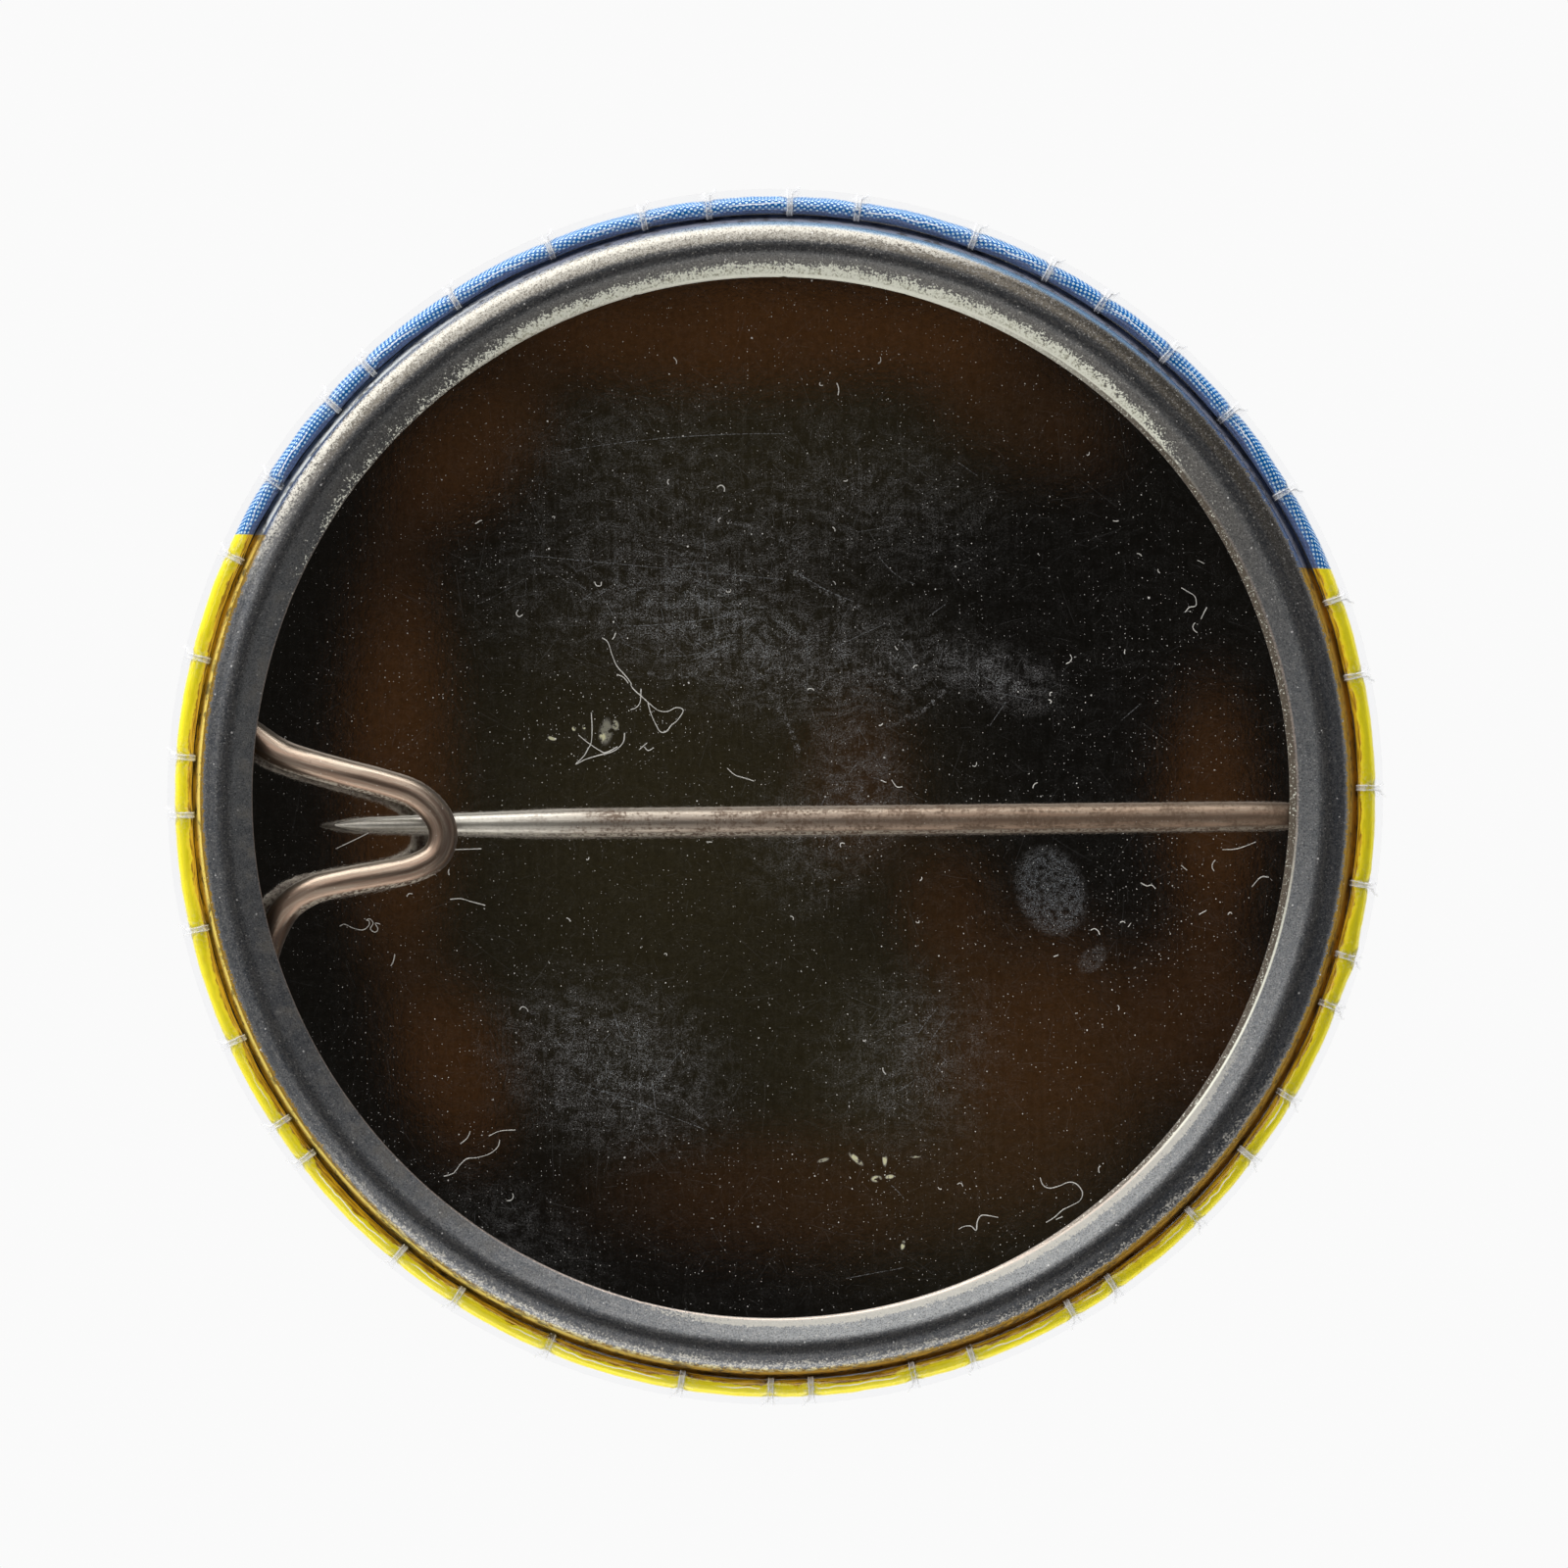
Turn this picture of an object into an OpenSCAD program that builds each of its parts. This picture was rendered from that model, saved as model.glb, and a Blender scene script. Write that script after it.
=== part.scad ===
// Round pin-back button badge, in millimetres.
// It lies on its domed front with the open back up. Z is up, and Z = 0 is the top of the dome.
// X runs along the closed pin, from its point to its root.

/* [Front] */
// Outer diameter over the clear film, without its pleats
badge_d = 38; // [37.8:0.1:38.2]
// Radius of the domed front
dome_r = 110; // [100:5:160]
// Radius of the shoulder between the front and the side
shoulder_r = 1; // [0.9:0.05:1.2]
// Thickness of the tinplate of the shell and the collet
sheet_t = 0.25; // [0.22:0.01:0.26]
// Thickness of the printed paper
paper_t = 0.09; // [0.08:0.01:0.1]
// Thickness of the clear film
film_t = 0.07; // [0.06:0.01:0.08]
// Space between one layer and the next
layer_gap = 0.02; // [0.01:0.01:0.03]
// Height of the line in the print above the badge's centre
print_line_y = 7.64; // [6:0.1:9]
// Slope of that line in degrees
print_line_slope = -2.4; // [-5:0.1:5]

/* [Folded rim] */
// Outer radius of the rim, where the film and the paper fold over the edge of the shell
rim_r = 18.7; // [18.65:0.01:18.75]
// Height of the middle of the fold
rim_z = 4.13; // [4:0.01:4.3]
// How far the paper is tucked in behind the collet
paper_tuck = 0.95; // [0.7:0.05:1]
// How far the film is tucked in behind the collet
film_tuck = 0.8; // [0.5:0.05:0.9]
// Width of one pleat of the film
pleat_w = 0.24; // [0.15:0.01:0.35]

/* [Collet] */
// Height of the badge, at the crown of the collet
collet_top = 5; // [4.9:0.05:5.2]
// Radius of the opening inside the lip
lip_in_r = 16.19; // [16.1:0.01:16.3]
// Radius of the rolled lip
lip_r = 0.3; // [0.27:0.01:0.35]
// Radius of the crown's section
crown_r = 1.06; // [1:0.01:1.2]
// Radius between the crown and the outer wall of the collet
bend_r = 0.69; // [0.6:0.01:0.7]
// Radius of the corner between that wall and the flange
corner_r = 0.35; // [0.3:0.01:0.4]
// Height of the flange under the wire
flange_z = 2.87; // [2.7:0.01:2.9]
// Inner radius of that flange
flange_in_r = 16.7; // [16.6:0.1:16.9]

/* [Wire and pin] */
// Diameter of the wire
wire_d = 0.9; // [0.8:0.01:0.9]
// Radius of the wire's run inside the collet
groove_r = 17.2; // [17.1:0.01:17.25]
// Height of the wire in the collet, and of the pin
wire_z = 3.6; // [3.58:0.01:3.65]
// Distance of the closed pin from the badge's centre line
pin_y = -0.75; // [-1:0.01:-0.5]
// Place along X of the point where the pin flexes
pin_root_x = 15.9; // [15.8:0.01:15.9]
// Length of the pin's straight stretch
pin_straight = 22.4; // [22:0.1:23]
// Length of the pin from its root to its point
pin_l = 29.65; // [29:0.01:29.8]
// Inner radius of the bend between the collet and the pin, along the wire's middle
root_bend_r = 0.8; // [0.7:0.01:0.9]

/* [Hidden] */
$fn = 128;

tin = [0.56, 0.56, 0.58];
dark_tin = [0.34, 0.35, 0.37];
yellow = [0.86, 0.82, 0.1];
blue = [0.16, 0.38, 0.72];
clear = [0.92, 0.93, 0.95, 0.3];
copper_brown = [0.55, 0.43, 0.36];
pin_steel = [0.66, 0.6, 0.56];

badge_r = badge_d / 2;
wire_r = wire_d / 2;
skin_t = film_t + paper_t + 2 * layer_gap;
fold_r = skin_t + sheet_t / 2;
small = 0.01;

// Steps along the round stretches of the sections
dome_steps = 8;
shoulder_steps = 7;
fold_steps = 8;
corner_steps = 6;

// The side is the common tangent of the shoulder's arc and the fold's arc
shoulder_c = [
    badge_r - shoulder_r,
    dome_r - sqrt(pow(dome_r - shoulder_r, 2) - pow(badge_r - shoulder_r, 2))
];
fold_c = [rim_r - fold_r, rim_z];
dome_end = -90 + asin(shoulder_c[0] / (dome_r - shoulder_r));
side_run = fold_c - shoulder_c;
side_a = atan2(side_run[1], side_run[0]) - acos((shoulder_r - fold_r) / norm(side_run));

// A point of a section is [radius, height, angle of the outward normal]
function dir(a) = [cos(a), sin(a)];

function arc_from(c, r, a0, a1, steps, first) = [
    for (i = [first:steps])
        let (a = a0 + (a1 - a0) * i / steps)
        [c[0] + r * cos(a), c[1] + r * sin(a), a]
];

function arc(c, r, a0, a1, steps) = arc_from(c, r, a0, a1, steps, 0);

function moved(path, d) = [for (p = path) [p[0] + d * cos(p[2]), p[1] + d * sin(p[2])]];

function reversed(list) = [for (i = [len(list) - 1:-1:0]) list[i]];

function layer(path, out, t) = concat(moved(path, -out), reversed(moved(path, -out - t)));

// The outside of the film, from the middle of the front to the start of the fold
front_path = concat(
    arc([0, dome_r], dome_r, -90, dome_end, dome_steps),
    arc_from(shoulder_c, shoulder_r, dome_end, side_a, shoulder_steps, 1)
);

// The same with the fold over the shell's edge and the tuck inside it
function skin_path(tuck) =
    let (
        fold = arc(fold_c, fold_r, side_a, side_a + 180, fold_steps),
        last = fold[fold_steps],
        down = dir(side_a - 90) * tuck
    )
    concat(front_path, fold, [[last[0] + down[0], last[1] + down[1], last[2]]]);

module blue_side() {
    reach = 2 * badge_d;
    rotate(print_line_slope)
        translate([-reach / 2, print_line_y, -1])
            cube([reach, reach, collet_top + 2]);
}

module front_shell() {
    color(tin)
        rotate_extrude()
            polygon(concat(
                moved(front_path, -skin_t),
                moved(arc(fold_c, fold_r, side_a, side_a + 180, fold_steps), -skin_t),
                reversed(moved(front_path, -skin_t - sheet_t))
            ));
}

module paper_sheet() {
    rotate_extrude()
        polygon(layer(skin_path(paper_tuck), film_t + layer_gap, paper_t));
}

module printed_disc() {
    color(yellow)
        difference() {
            paper_sheet();
            blue_side();
        }
    color(blue)
        intersection() {
            paper_sheet();
            blue_side();
        }
}

// Pleats of the film round the rim: place in degrees, and how far it stands out
pleat_angle = 0;
pleat_h = 1;
pleats = [
    [0.3, 0.2], [11.2, 0.22], [18.8, 0.24], [30.3, 0.24], [39.6, 0.2], [47.8, 0.22],
    [55.9, 0.22], [61.9, 0.2], [69.8, 0.2], [81.4, 0.2], [88, 0.16], [95.9, 0.22],
    [102.3, 0.18], [111.8, 0.2], [122.3, 0.2], [132.9, 0.18], [137.9, 0.22], [147.3, 0.18],
    [155.6, 0.22], [165.9, 0.2], [175.6, 0.16], [181.2, 0.2], [192.4, 0.22], [203.8, 0.22],
    [212.8, 0.2], [217, 0.18], [230, 0.24], [237, 0.2], [247, 0.24], [260.3, 0.24],
    [269, 0.18], [272.9, 0.2], [282.9, 0.22], [288.8, 0.2], [299.4, 0.18], [304.1, 0.24],
    [314.4, 0.22], [322.3, 0.2], [329.1, 0.22], [338.8, 0.2], [343.8, 0.3], [350.9, 0.2]
];

// A pleat starts above the shoulder, runs up the side and crosses the fold
pleat_foot = 0.45;
pleat_path = concat(
    [[
        badge_r - shoulder_r + shoulder_r * cos(side_a),
        shoulder_c[1] + shoulder_r * sin(side_a) + pleat_foot,
        side_a
    ]],
    arc(fold_c, fold_r, side_a, side_a + 150, fold_steps)
);

module pleat(h) {
    last = len(pleat_path) - 1;
    crest = [
        for (i = [0:last])
            let (
                p = pleat_path[i],
                rise = h * pow(sin(180 * (i + 0.35) / (last + 0.7)), 0.6)
            )
            [p[0] + rise * cos(p[2]), p[1] + rise * sin(p[2])]
    ];
    rotate([90, 0, 0])
        translate([0, 0, -pleat_w / 2])
            linear_extrude(pleat_w)
                polygon(concat(crest, reversed(moved(pleat_path, -film_t / 2))));
}

module clear_film() {
    color(clear)
        union() {
            rotate_extrude()
                polygon(layer(skin_path(film_tuck), 0, film_t));
            for (p = pleats)
                rotate(p[pleat_angle])
                    pleat(p[pleat_h]);
        }
}

// The collet is a rolled channel: a flange, a wall inside the fold, a crown and a lip.
// Its wall runs along the tucked film, and its mouth faces the middle of the badge.
crown_from = 70;
crown_to = 107;
lip_to = 215;
collet_gap = 0.03;
wall_out = fold_c * dir(side_a) - fold_r - collet_gap;
bottom_c = [
    (wall_out - corner_r - (flange_z + corner_r) * sin(side_a)) / cos(side_a),
    flange_z + corner_r
];
crown_z = collet_top - crown_r;
top_c_z = crown_z - (bend_r - crown_r) * sin(crown_from);
top_c = [(wall_out - bend_r - top_c_z * sin(side_a)) / cos(side_a), top_c_z];
crown_c = top_c + (bend_r - crown_r) * dir(crown_from);
lip_c_r = lip_in_r + lip_r;
flank_out = crown_c * dir(crown_to) + crown_r;
lip_c = [lip_c_r, (flank_out - lip_r - lip_c_r * cos(crown_to)) / sin(crown_to)];

module collet_ring() {
    section = concat(
        [[flange_in_r, flange_z, -90]],
        arc(bottom_c, corner_r, -90, side_a, corner_steps),
        arc(top_c, bend_r, side_a, crown_from, corner_steps),
        arc_from(crown_c, crown_r, crown_from, crown_to, corner_steps, 1),
        arc(lip_c, lip_r, crown_to, lip_to, corner_steps)
    );
    color(dark_tin)
        rotate_extrude()
            polygon(layer(section, 0, sheet_t));
}

// Points that the wire passes at the catch: along X, along Y, and height above the groove.
// It comes out under the lip, climbs to the loop over the pin, and goes back in.
catch_points = [
    [-16.95, 2.7, 0], [-16.14, 2, 0.02], [-15.32, 1.48, 0.25], [-14.31, 1.13, 0.68],
    [-13.3, 0.84, 0.88], [-12.3, 0.53, 0.92], [-11.29, 0.12, 0.92], [-10.66, -0.42, 0.92],
    [-10.4, -1.05, 0.92], [-10.62, -1.72, 0.92], [-11.31, -2.12, 0.92], [-12.32, -2.32, 0.92],
    [-13.34, -2.49, 0.88], [-14.35, -2.73, 0.72], [-15.12, -3.19, 0.36], [-15.6, -3.85, 0.1],
    [-15.95, -4.75, 0]
];
groove_from = asin((pin_y + root_bend_r) / groove_r);
groove_to = 168;
groove_end_from = 200;
groove_end_to = 214;
groove_step = 6;
bend_steps = 5;
catch_steps = 3;
wire_sides = 12;

function groove_arc(a0, a1) =
    let (steps = ceil((a1 - a0) / groove_step))
    [for (i = [0:steps]) let (a = a0 + (a1 - a0) * i / steps) [groove_r * cos(a), groove_r * sin(a), 0]];

// A smooth curve through four points in a row, at t from 0 to 1 between the middle two
function between(p0, p1, p2, p3, t) =
    0.5 * (2 * p1 + (p2 - p0) * t + (2 * p0 - 5 * p1 + 4 * p2 - p3) * t * t
        + (3 * p1 - p0 - 3 * p2 + p3) * t * t * t);

function smoothed(points, steps) = [
    for (i = [1:len(points) - 3])
        for (k = [0:steps - 1])
            between(points[i - 1], points[i], points[i + 1], points[i + 2], k / steps)
];

root_bend = [
    for (i = [0:bend_steps - 1])
        let (a = -90 + 90 * i / bend_steps)
        [
            groove_r - root_bend_r + root_bend_r * cos(a),
            pin_y + root_bend_r + root_bend_r * sin(a),
            0
        ]
];
upper_run = groove_arc(groove_from, groove_to);
end_run = groove_arc(groove_end_from, groove_end_to);
catch_run = smoothed(
    concat(
        [upper_run[len(upper_run) - 2], upper_run[len(upper_run) - 1]],
        catch_points,
        [end_run[0], end_run[1]]
    ),
    catch_steps
);
wire_route = concat(
    root_bend,
    [for (i = [0:len(upper_run) - 2]) upper_run[i]],
    catch_run,
    end_run
);

function unit(v) = v / norm(v);

module tube(route, r, sides) {
    last = len(route) - 1;
    rings = [
        for (i = [0:last])
            let (
                ahead = unit(route[min(i + 1, last)] - route[max(i - 1, 0)]),
                side = unit(cross(ahead, [0, 0, 1])),
                up = cross(side, ahead)
            )
            for (k = [0:sides - 1])
                let (a = 360 * k / sides)
                route[i] + r * (cos(a) * side + sin(a) * up)
    ];
    polyhedron(
        points = rings,
        faces = concat(
            [[for (k = [0:sides - 1]) k]],
            [
                for (i = [0:last - 1])
                    for (k = [0:sides - 1])
                        let (next = (k + 1) % sides)
                        [i * sides + k, (i + 1) * sides + k, (i + 1) * sides + next, i * sides + next]
            ],
            [[for (k = [sides - 1:-1:0]) last * sides + k]]
        )
    );
}

module spring_wire() {
    color(copper_brown)
        translate([0, 0, wire_z])
            tube(wire_route, wire_r, wire_sides);
}

// The pin is a little thinner at its root, where it flexes. It tapers slowly from the end of
// its straight stretch, then quickly to its point.
root_l = 1.2;
root_r = 0.4;
taper_l = 6.4;
taper_r = 0.23;
point_r = 0.04;

module pin_arm() {
    color(pin_steel)
        translate([pin_root_x, pin_y, wire_z])
            rotate([0, -90, 0]) {
                sphere(root_r);
                cylinder(h = root_l, r1 = root_r, r2 = wire_r);
                translate([0, 0, root_l])
                    cylinder(h = pin_straight - root_l, r = wire_r);
                translate([0, 0, pin_straight])
                    cylinder(h = taper_l, r1 = wire_r, r2 = taper_r);
                translate([0, 0, pin_straight + taper_l])
                    cylinder(
                        h = pin_l - point_r - pin_straight - taper_l,
                        r1 = taper_r,
                        r2 = point_r
                    );
                translate([0, 0, pin_l - point_r])
                    sphere(point_r);
            }
}

front_shell();
printed_disc();
clear_film();
collet_ring();
spring_wire();
pin_arm();
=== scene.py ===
# Looks of a round pin-back button badge that lies on its front: the dusty bright inside of the
# shell, printed paper under clear film, a worn collet, and a sprung wire with its pin.
# Sizes in the dictionaries are millimetres, and angles are degrees.
import math
import random

import bpy
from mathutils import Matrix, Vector, noise


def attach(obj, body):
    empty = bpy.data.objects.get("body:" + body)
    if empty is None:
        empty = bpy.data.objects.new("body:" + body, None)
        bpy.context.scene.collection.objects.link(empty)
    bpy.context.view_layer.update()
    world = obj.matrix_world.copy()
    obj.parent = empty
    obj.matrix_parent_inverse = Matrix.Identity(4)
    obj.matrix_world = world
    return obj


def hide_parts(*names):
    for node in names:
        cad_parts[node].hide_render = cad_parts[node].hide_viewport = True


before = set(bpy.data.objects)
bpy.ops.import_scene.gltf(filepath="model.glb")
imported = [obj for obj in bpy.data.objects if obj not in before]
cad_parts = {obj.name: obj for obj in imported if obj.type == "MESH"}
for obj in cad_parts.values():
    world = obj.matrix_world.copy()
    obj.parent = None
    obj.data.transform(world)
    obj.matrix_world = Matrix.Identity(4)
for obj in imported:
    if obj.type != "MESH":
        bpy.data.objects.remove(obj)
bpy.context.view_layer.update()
mm = 0.001
print("frame loaded")


def byMaths(operation):
    return lambda signal, value: signal.maths(operation, signal, value)


# A socket of a node tree, so that maths on it reads as plain Python.
class Signal:
    def __init__(self, graph, socket):
        self.graph = graph
        self.socket = socket

    def other(self, name):
        return Signal(self.graph, self.socket.node.outputs[name])

    def maths(self, operation, *values):
        return self.graph.add("ShaderNodeMath", {"operation": operation}, dict(enumerate(values)))

    def vector(self, operation, *values, out=0):
        sockets = dict(enumerate((self, *values)))
        return self.graph.add("ShaderNodeVectorMath", {"operation": operation}, sockets, out)

    def smooth(self, start, end):
        settings = {"interpolation_type": "SMOOTHSTEP"}
        return self.graph.add("ShaderNodeMapRange", settings, {0: self, 1: start, 2: end})

    def __rsub__(self, value):
        return self.maths("SUBTRACT", value, self)

    __add__ = __radd__ = byMaths("ADD")
    __mul__ = __rmul__ = byMaths("MULTIPLY")
    __sub__ = byMaths("SUBTRACT")
    __truediv__ = byMaths("DIVIDE")
    __gt__ = byMaths("GREATER_THAN")
    __lt__ = byMaths("LESS_THAN")
    least = byMaths("MINIMUM")
    most = byMaths("MAXIMUM")


# A node tree that nodes are added to.
class Graph:
    def __init__(self, tree):
        self.tree = tree

    def add(self, kind, settings=None, sockets=None, out=0):
        node = self.tree.nodes.new(kind)
        for name, value in (settings or {}).items():
            setattr(node, name, value)
        for key, value in (sockets or {}).items():
            socket = node.inputs[key]
            if isinstance(value, Signal):
                self.tree.links.new(value.socket, socket)
            else:
                socket.default_value = (*value, 1) if socket.type == "RGBA" else value
        return Signal(self, node.outputs[out]) if node.outputs else None

    def coat(self, sockets):
        return self.add("ShaderNodeBsdfPrincipled", {}, sockets)

    def blend(self, share, under, over):
        return self.add("ShaderNodeMixShader", {}, {0: share, 1: under, 2: over})

    def mark(self, name, out="Fac"):
        return self.add("ShaderNodeAttribute", {"attribute_name": name}, {}, out)


def newFinish(name):  # a material, its graph, and the place on the badge in millimetres
    finish = bpy.data.materials.new(name)
    finish.use_nodes = True
    finish.node_tree.nodes.clear()
    graph = Graph(finish.node_tree)
    sockets = {0: graph.add("ShaderNodeTexCoord", out="Object"), "Scale": 1 / mm}
    return finish, graph, graph.add("ShaderNodeVectorMath", {"operation": "SCALE"}, sockets)


def shown(finish, shader):
    shader.graph.add("ShaderNodeOutputMaterial", {}, {"Surface": shader})
    return finish


def partsOf(vector):
    x = vector.graph.add("ShaderNodeSeparateXYZ", {}, {0: vector})
    return x, x.other("Y"), x.other("Z")


def joinParts(x, y, z):
    return x.graph.add("ShaderNodeCombineXYZ", {}, {0: x, 1: y, 2: z})


def fromAxis(place):  # x, y, and how far the place is from the badge's axis
    x, y, _ = partsOf(place)
    square = x * x + y * y
    return x, y, square.maths("SQRT", square)


def stretched(place, sizes, turn=0):
    sockets = {"Vector": place, "Rotation": (0, 0, math.radians(turn)), "Scale": sizes}
    return place.graph.add("ShaderNodeMapping", {}, sockets)


def grain(place, scale, detail, roughness, out="Fac"):
    sockets = {"Vector": place, "Scale": scale, "Detail": detail, "Roughness": roughness}
    return place.graph.add("ShaderNodeTexNoise", {}, sockets, out)


def grains(place, chart):  # chart rows: how fine in repeats to a millimetre, detail, roughness
    return [grain(place, *row) for row in chart]


def mixed(share, under, over):
    sockets = {0: share, 6: under, 7: over}
    return share.graph.add("ShaderNodeMix", {"data_type": "RGBA"}, sockets, 2)


def layered(colour, *layers):  # each layer is the share that it covers, and its colour
    for share, over in layers:
        colour = mixed(share, colour, over)
    return colour


def raised(height, depth):  # bump of a height from 0 to 1, depth in millimetres
    sockets = {"Height": height, "Distance": depth * mm, "Strength": 1.0}
    return height.graph.add("ShaderNodeBump", {}, sockets)


def inFrame(place, x, y, turn, sizes):  # place seen from a mark: its middle at 0, its ends at 1
    sockets = {
        "Vector": place,
        "Location": (x, y, 0),
        "Rotation": (0, 0, math.radians(turn)),
        "Scale": (*sizes, 1000),
    }
    return place.graph.add("ShaderNodeMapping", {"vector_type": "TEXTURE"}, sockets)


def patches(place, chart, soft=0.1):  # chart rows: x, y, half width, half height, turn, strength
    total = 0
    for x, y, halfWidth, halfHeight, turn, strength in chart:
        seen = inFrame(place, x, y, turn, (halfWidth, halfHeight))
        total = seen.vector("LENGTH", out="Value").smooth(1, soft) * strength + total
    return total.least(1)


def strokes(place, chart, halfWidth):  # chart rows: x, y, half length, turn, sag
    total = None
    for x, y, halfLength, turn, sag in chart:
        along, across, _ = partsOf(inFrame(place, x, y, turn, (halfLength, halfWidth)))
        square = along * along
        bent = across - (1 - square) * (sag / halfWidth)
        mark = (square < 1) * (1 - bent * bent).most(0)
        total = mark if total is None else total.most(mark)
    return total


def cellOf(place, size, shift):  # a random cell: how far its point is, the place from it, three chances
    spot = place.vector("MULTIPLY_ADD", (1 / size, 1 / size, 0), (shift, shift * 1.7, 0))
    sockets = {"Vector": spot, "Scale": 1.0}
    cell = place.graph.add("ShaderNodeTexVoronoi", {"voronoi_dimensions": "2D"}, sockets)
    seen = spot.vector("SUBTRACT", cell.other("Position"))
    chance = place.graph.add("ShaderNodeSeparateColor", {}, {0: cell.other("Color")})
    return cell, seen, chance, chance.other("Green"), chance.other("Blue")


# Specks, one to a cell of this size. share: how many cells have one; shift: which random cells
def specks(place, size, radius, share, shift, ragged=0.5):
    cell, _, chance, weight, _ = cellOf(place, size, shift)
    reach = (weight * 0.7 + 0.3) * (radius / size)
    return (cell / reach * (ragged * 1.6 + 0.2)).smooth(1, 0.5) * (chance < share)


def hairs(place, size, halfLength, halfWidth, bend, share, shift):  # fine lines, one to a cell
    _, seen, chance, weight, side = cellOf(place, size, shift)
    sockets = {"Vector": seen, "Angle": side * (6 * math.pi)}
    turned = place.graph.add("ShaderNodeVectorRotate", {"rotation_type": "Z_AXIS"}, sockets)
    along, across, _ = partsOf(turned)
    along = along * (size / halfLength) / (weight * 0.6 + 0.4)
    square = along * along
    bent = across * (size / halfWidth) - square * (side - 0.5) * (bend / halfWidth)
    return (square < 1) * (1 - bent * bent).most(0) * (chance < share)


# Sections are rows of radius, height, angle of the outward normal, way along the sheet, and lift:
# 0 up to the shoulder, rising to 1 along the side.
badge = {
    "radius": 19.0,
    "domeRadius": 110.0,
    "shoulderRadius": 1.0,
    "sheet": 0.25,
    "paper": 0.09,
    "film": 0.07,
    "gap": 0.02,
    "foldOutside": 18.7,
    "foldHeight": 4.13,
    "paperTuck": 0.95,
    "filmTuck": 0.8,
    "domeSteps": 12,
    "shoulderSteps": 9,
    "sideSteps": 5,
    "foldSteps": 20,
    "tuckShares": (0.3, 0.7, 1),
    "sharpOver": 50,  # a bend over this is shaded as an edge
    "poleInside": 0.001,  # a ring smaller than this is one point
}
skin = badge["film"] + badge["paper"] + 2 * badge["gap"]
foldRadius = skin + badge["sheet"] / 2
shoulderR = badge["radius"] - badge["shoulderRadius"]
domeInside = badge["domeRadius"] - badge["shoulderRadius"]
shoulderMid = (shoulderR, badge["domeRadius"] - math.sqrt(domeInside**2 - shoulderR**2))
foldMid = (badge["foldOutside"] - foldRadius, badge["foldHeight"])
domeEnd = math.degrees(math.asin(shoulderR / domeInside)) - 90
sideRun = (foldMid[0] - shoulderMid[0], foldMid[1] - shoulderMid[1])
sideLean = math.acos((badge["shoulderRadius"] - foldRadius) / math.hypot(*sideRun))
sideAngle = math.degrees(math.atan2(sideRun[1], sideRun[0]) - sideLean)


def polar(middle, radius, degrees):
    angle = math.radians(degrees)
    return middle[0] + radius * math.cos(angle), middle[1] + radius * math.sin(angle)


sideFoot = polar(shoulderMid, badge["shoulderRadius"], sideAngle)
sideTop = polar(foldMid, foldRadius, sideAngle)


def arcRows(middle, radius, start, end, steps, first=0):
    turns = [start + (end - start) * i / steps for i in range(first, steps + 1)]
    return [(*polar(middle, radius, turn), turn) for turn in turns]


def moved(rows, out):
    return [(*polar(row, out, row[2]), *row[2:]) for row in rows]


def frontRows():
    dome = arcRows((0, badge["domeRadius"]), badge["domeRadius"], -90, domeEnd, badge["domeSteps"])
    dome[0] = (0, 0, -90)
    shoulder = (badge["shoulderRadius"], domeEnd, sideAngle, badge["shoulderSteps"], 1)
    return dome + arcRows(shoulderMid, *shoulder)


def sideRows():
    shares = [i / badge["sideSteps"] for i in range(1, badge["sideSteps"])]
    ends = list(zip(sideFoot, sideTop))
    return [(*[foot + (top - foot) * share for foot, top in ends], sideAngle) for share in shares]


def skinRows(tuck):
    fold = arcRows(foldMid, foldRadius, sideAngle, sideAngle + 180, badge["foldSteps"])
    end = fold[-1]
    tucked = [(*polar(end, tuck * share, sideAngle - 90), end[2]) for share in badge["tuckShares"]]
    return frontRows() + sideRows() + fold + tucked


def withWay(rows):  # adds the way along the sheet and the lift to each row
    way = 0
    full = []
    for i, (r, z, turn) in enumerate(rows):
        if i:
            way += math.hypot(r - rows[i - 1][0], z - rows[i - 1][1])
        share = (z - sideFoot[1]) / (foldMid[1] - sideFoot[1])
        full.append((r, z, turn, way, 1 if turn > 90 else min(max(share, 0), 1)))
    return full


def inScene(name, data):
    thing = bpy.data.objects.new(name, data)
    bpy.context.scene.collection.objects.link(thing)
    return thing


def marked(mesh, label, values, kind="FLOAT"):
    mesh.attributes.new(label, kind, "POINT").data.foreach_set("value", values)


# Turns a section round the badge's axis. shape(row, degrees) gives how far a point moves out and up,
# and each of marks(row, degrees) becomes an attribute of the mesh.
def turned(name, rows, steps, loop=False, shape=None, marks=None):
    vertices = []
    owners = []
    rings = []
    for row in rows:
        count = steps if row[0] > badge["poleInside"] else 1
        rings.append(list(range(len(vertices), len(vertices) + count)) * (steps // count))
        for j in range(count):
            degrees = 360 * j / steps
            out, up = shape(row, degrees) if shape else (0, 0)
            x, y = polar((0, 0), row[0] + out, degrees)
            vertices.append((x * mm, y * mm, (row[1] + up) * mm))
            owners.append((row, degrees))
    faces = []
    pairs = list(zip(rings, rings[1:] + rings[:1]))
    for ring, after in pairs if loop else pairs[:-1]:
        for corners in zip(ring, ring[1:] + ring[:1], after[1:] + after[:1], after):
            faces.append(list(dict.fromkeys(corners)))  # three corners where a ring is one point
    mesh = bpy.data.meshes.new(name)
    mesh.from_pydata(vertices, [], faces)
    for label, mark in (marks or {}).items():
        values = [mark(row, degrees) for row, degrees in owners]
        if label == "UVMap":
            layer = mesh.uv_layers.new(name=label)
            for loopCorner in mesh.loops:
                layer.data[loopCorner.index].uv = values[loopCorner.vertex_index]
        else:
            marked(mesh, label, values)
    return placed(name, mesh)


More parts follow.
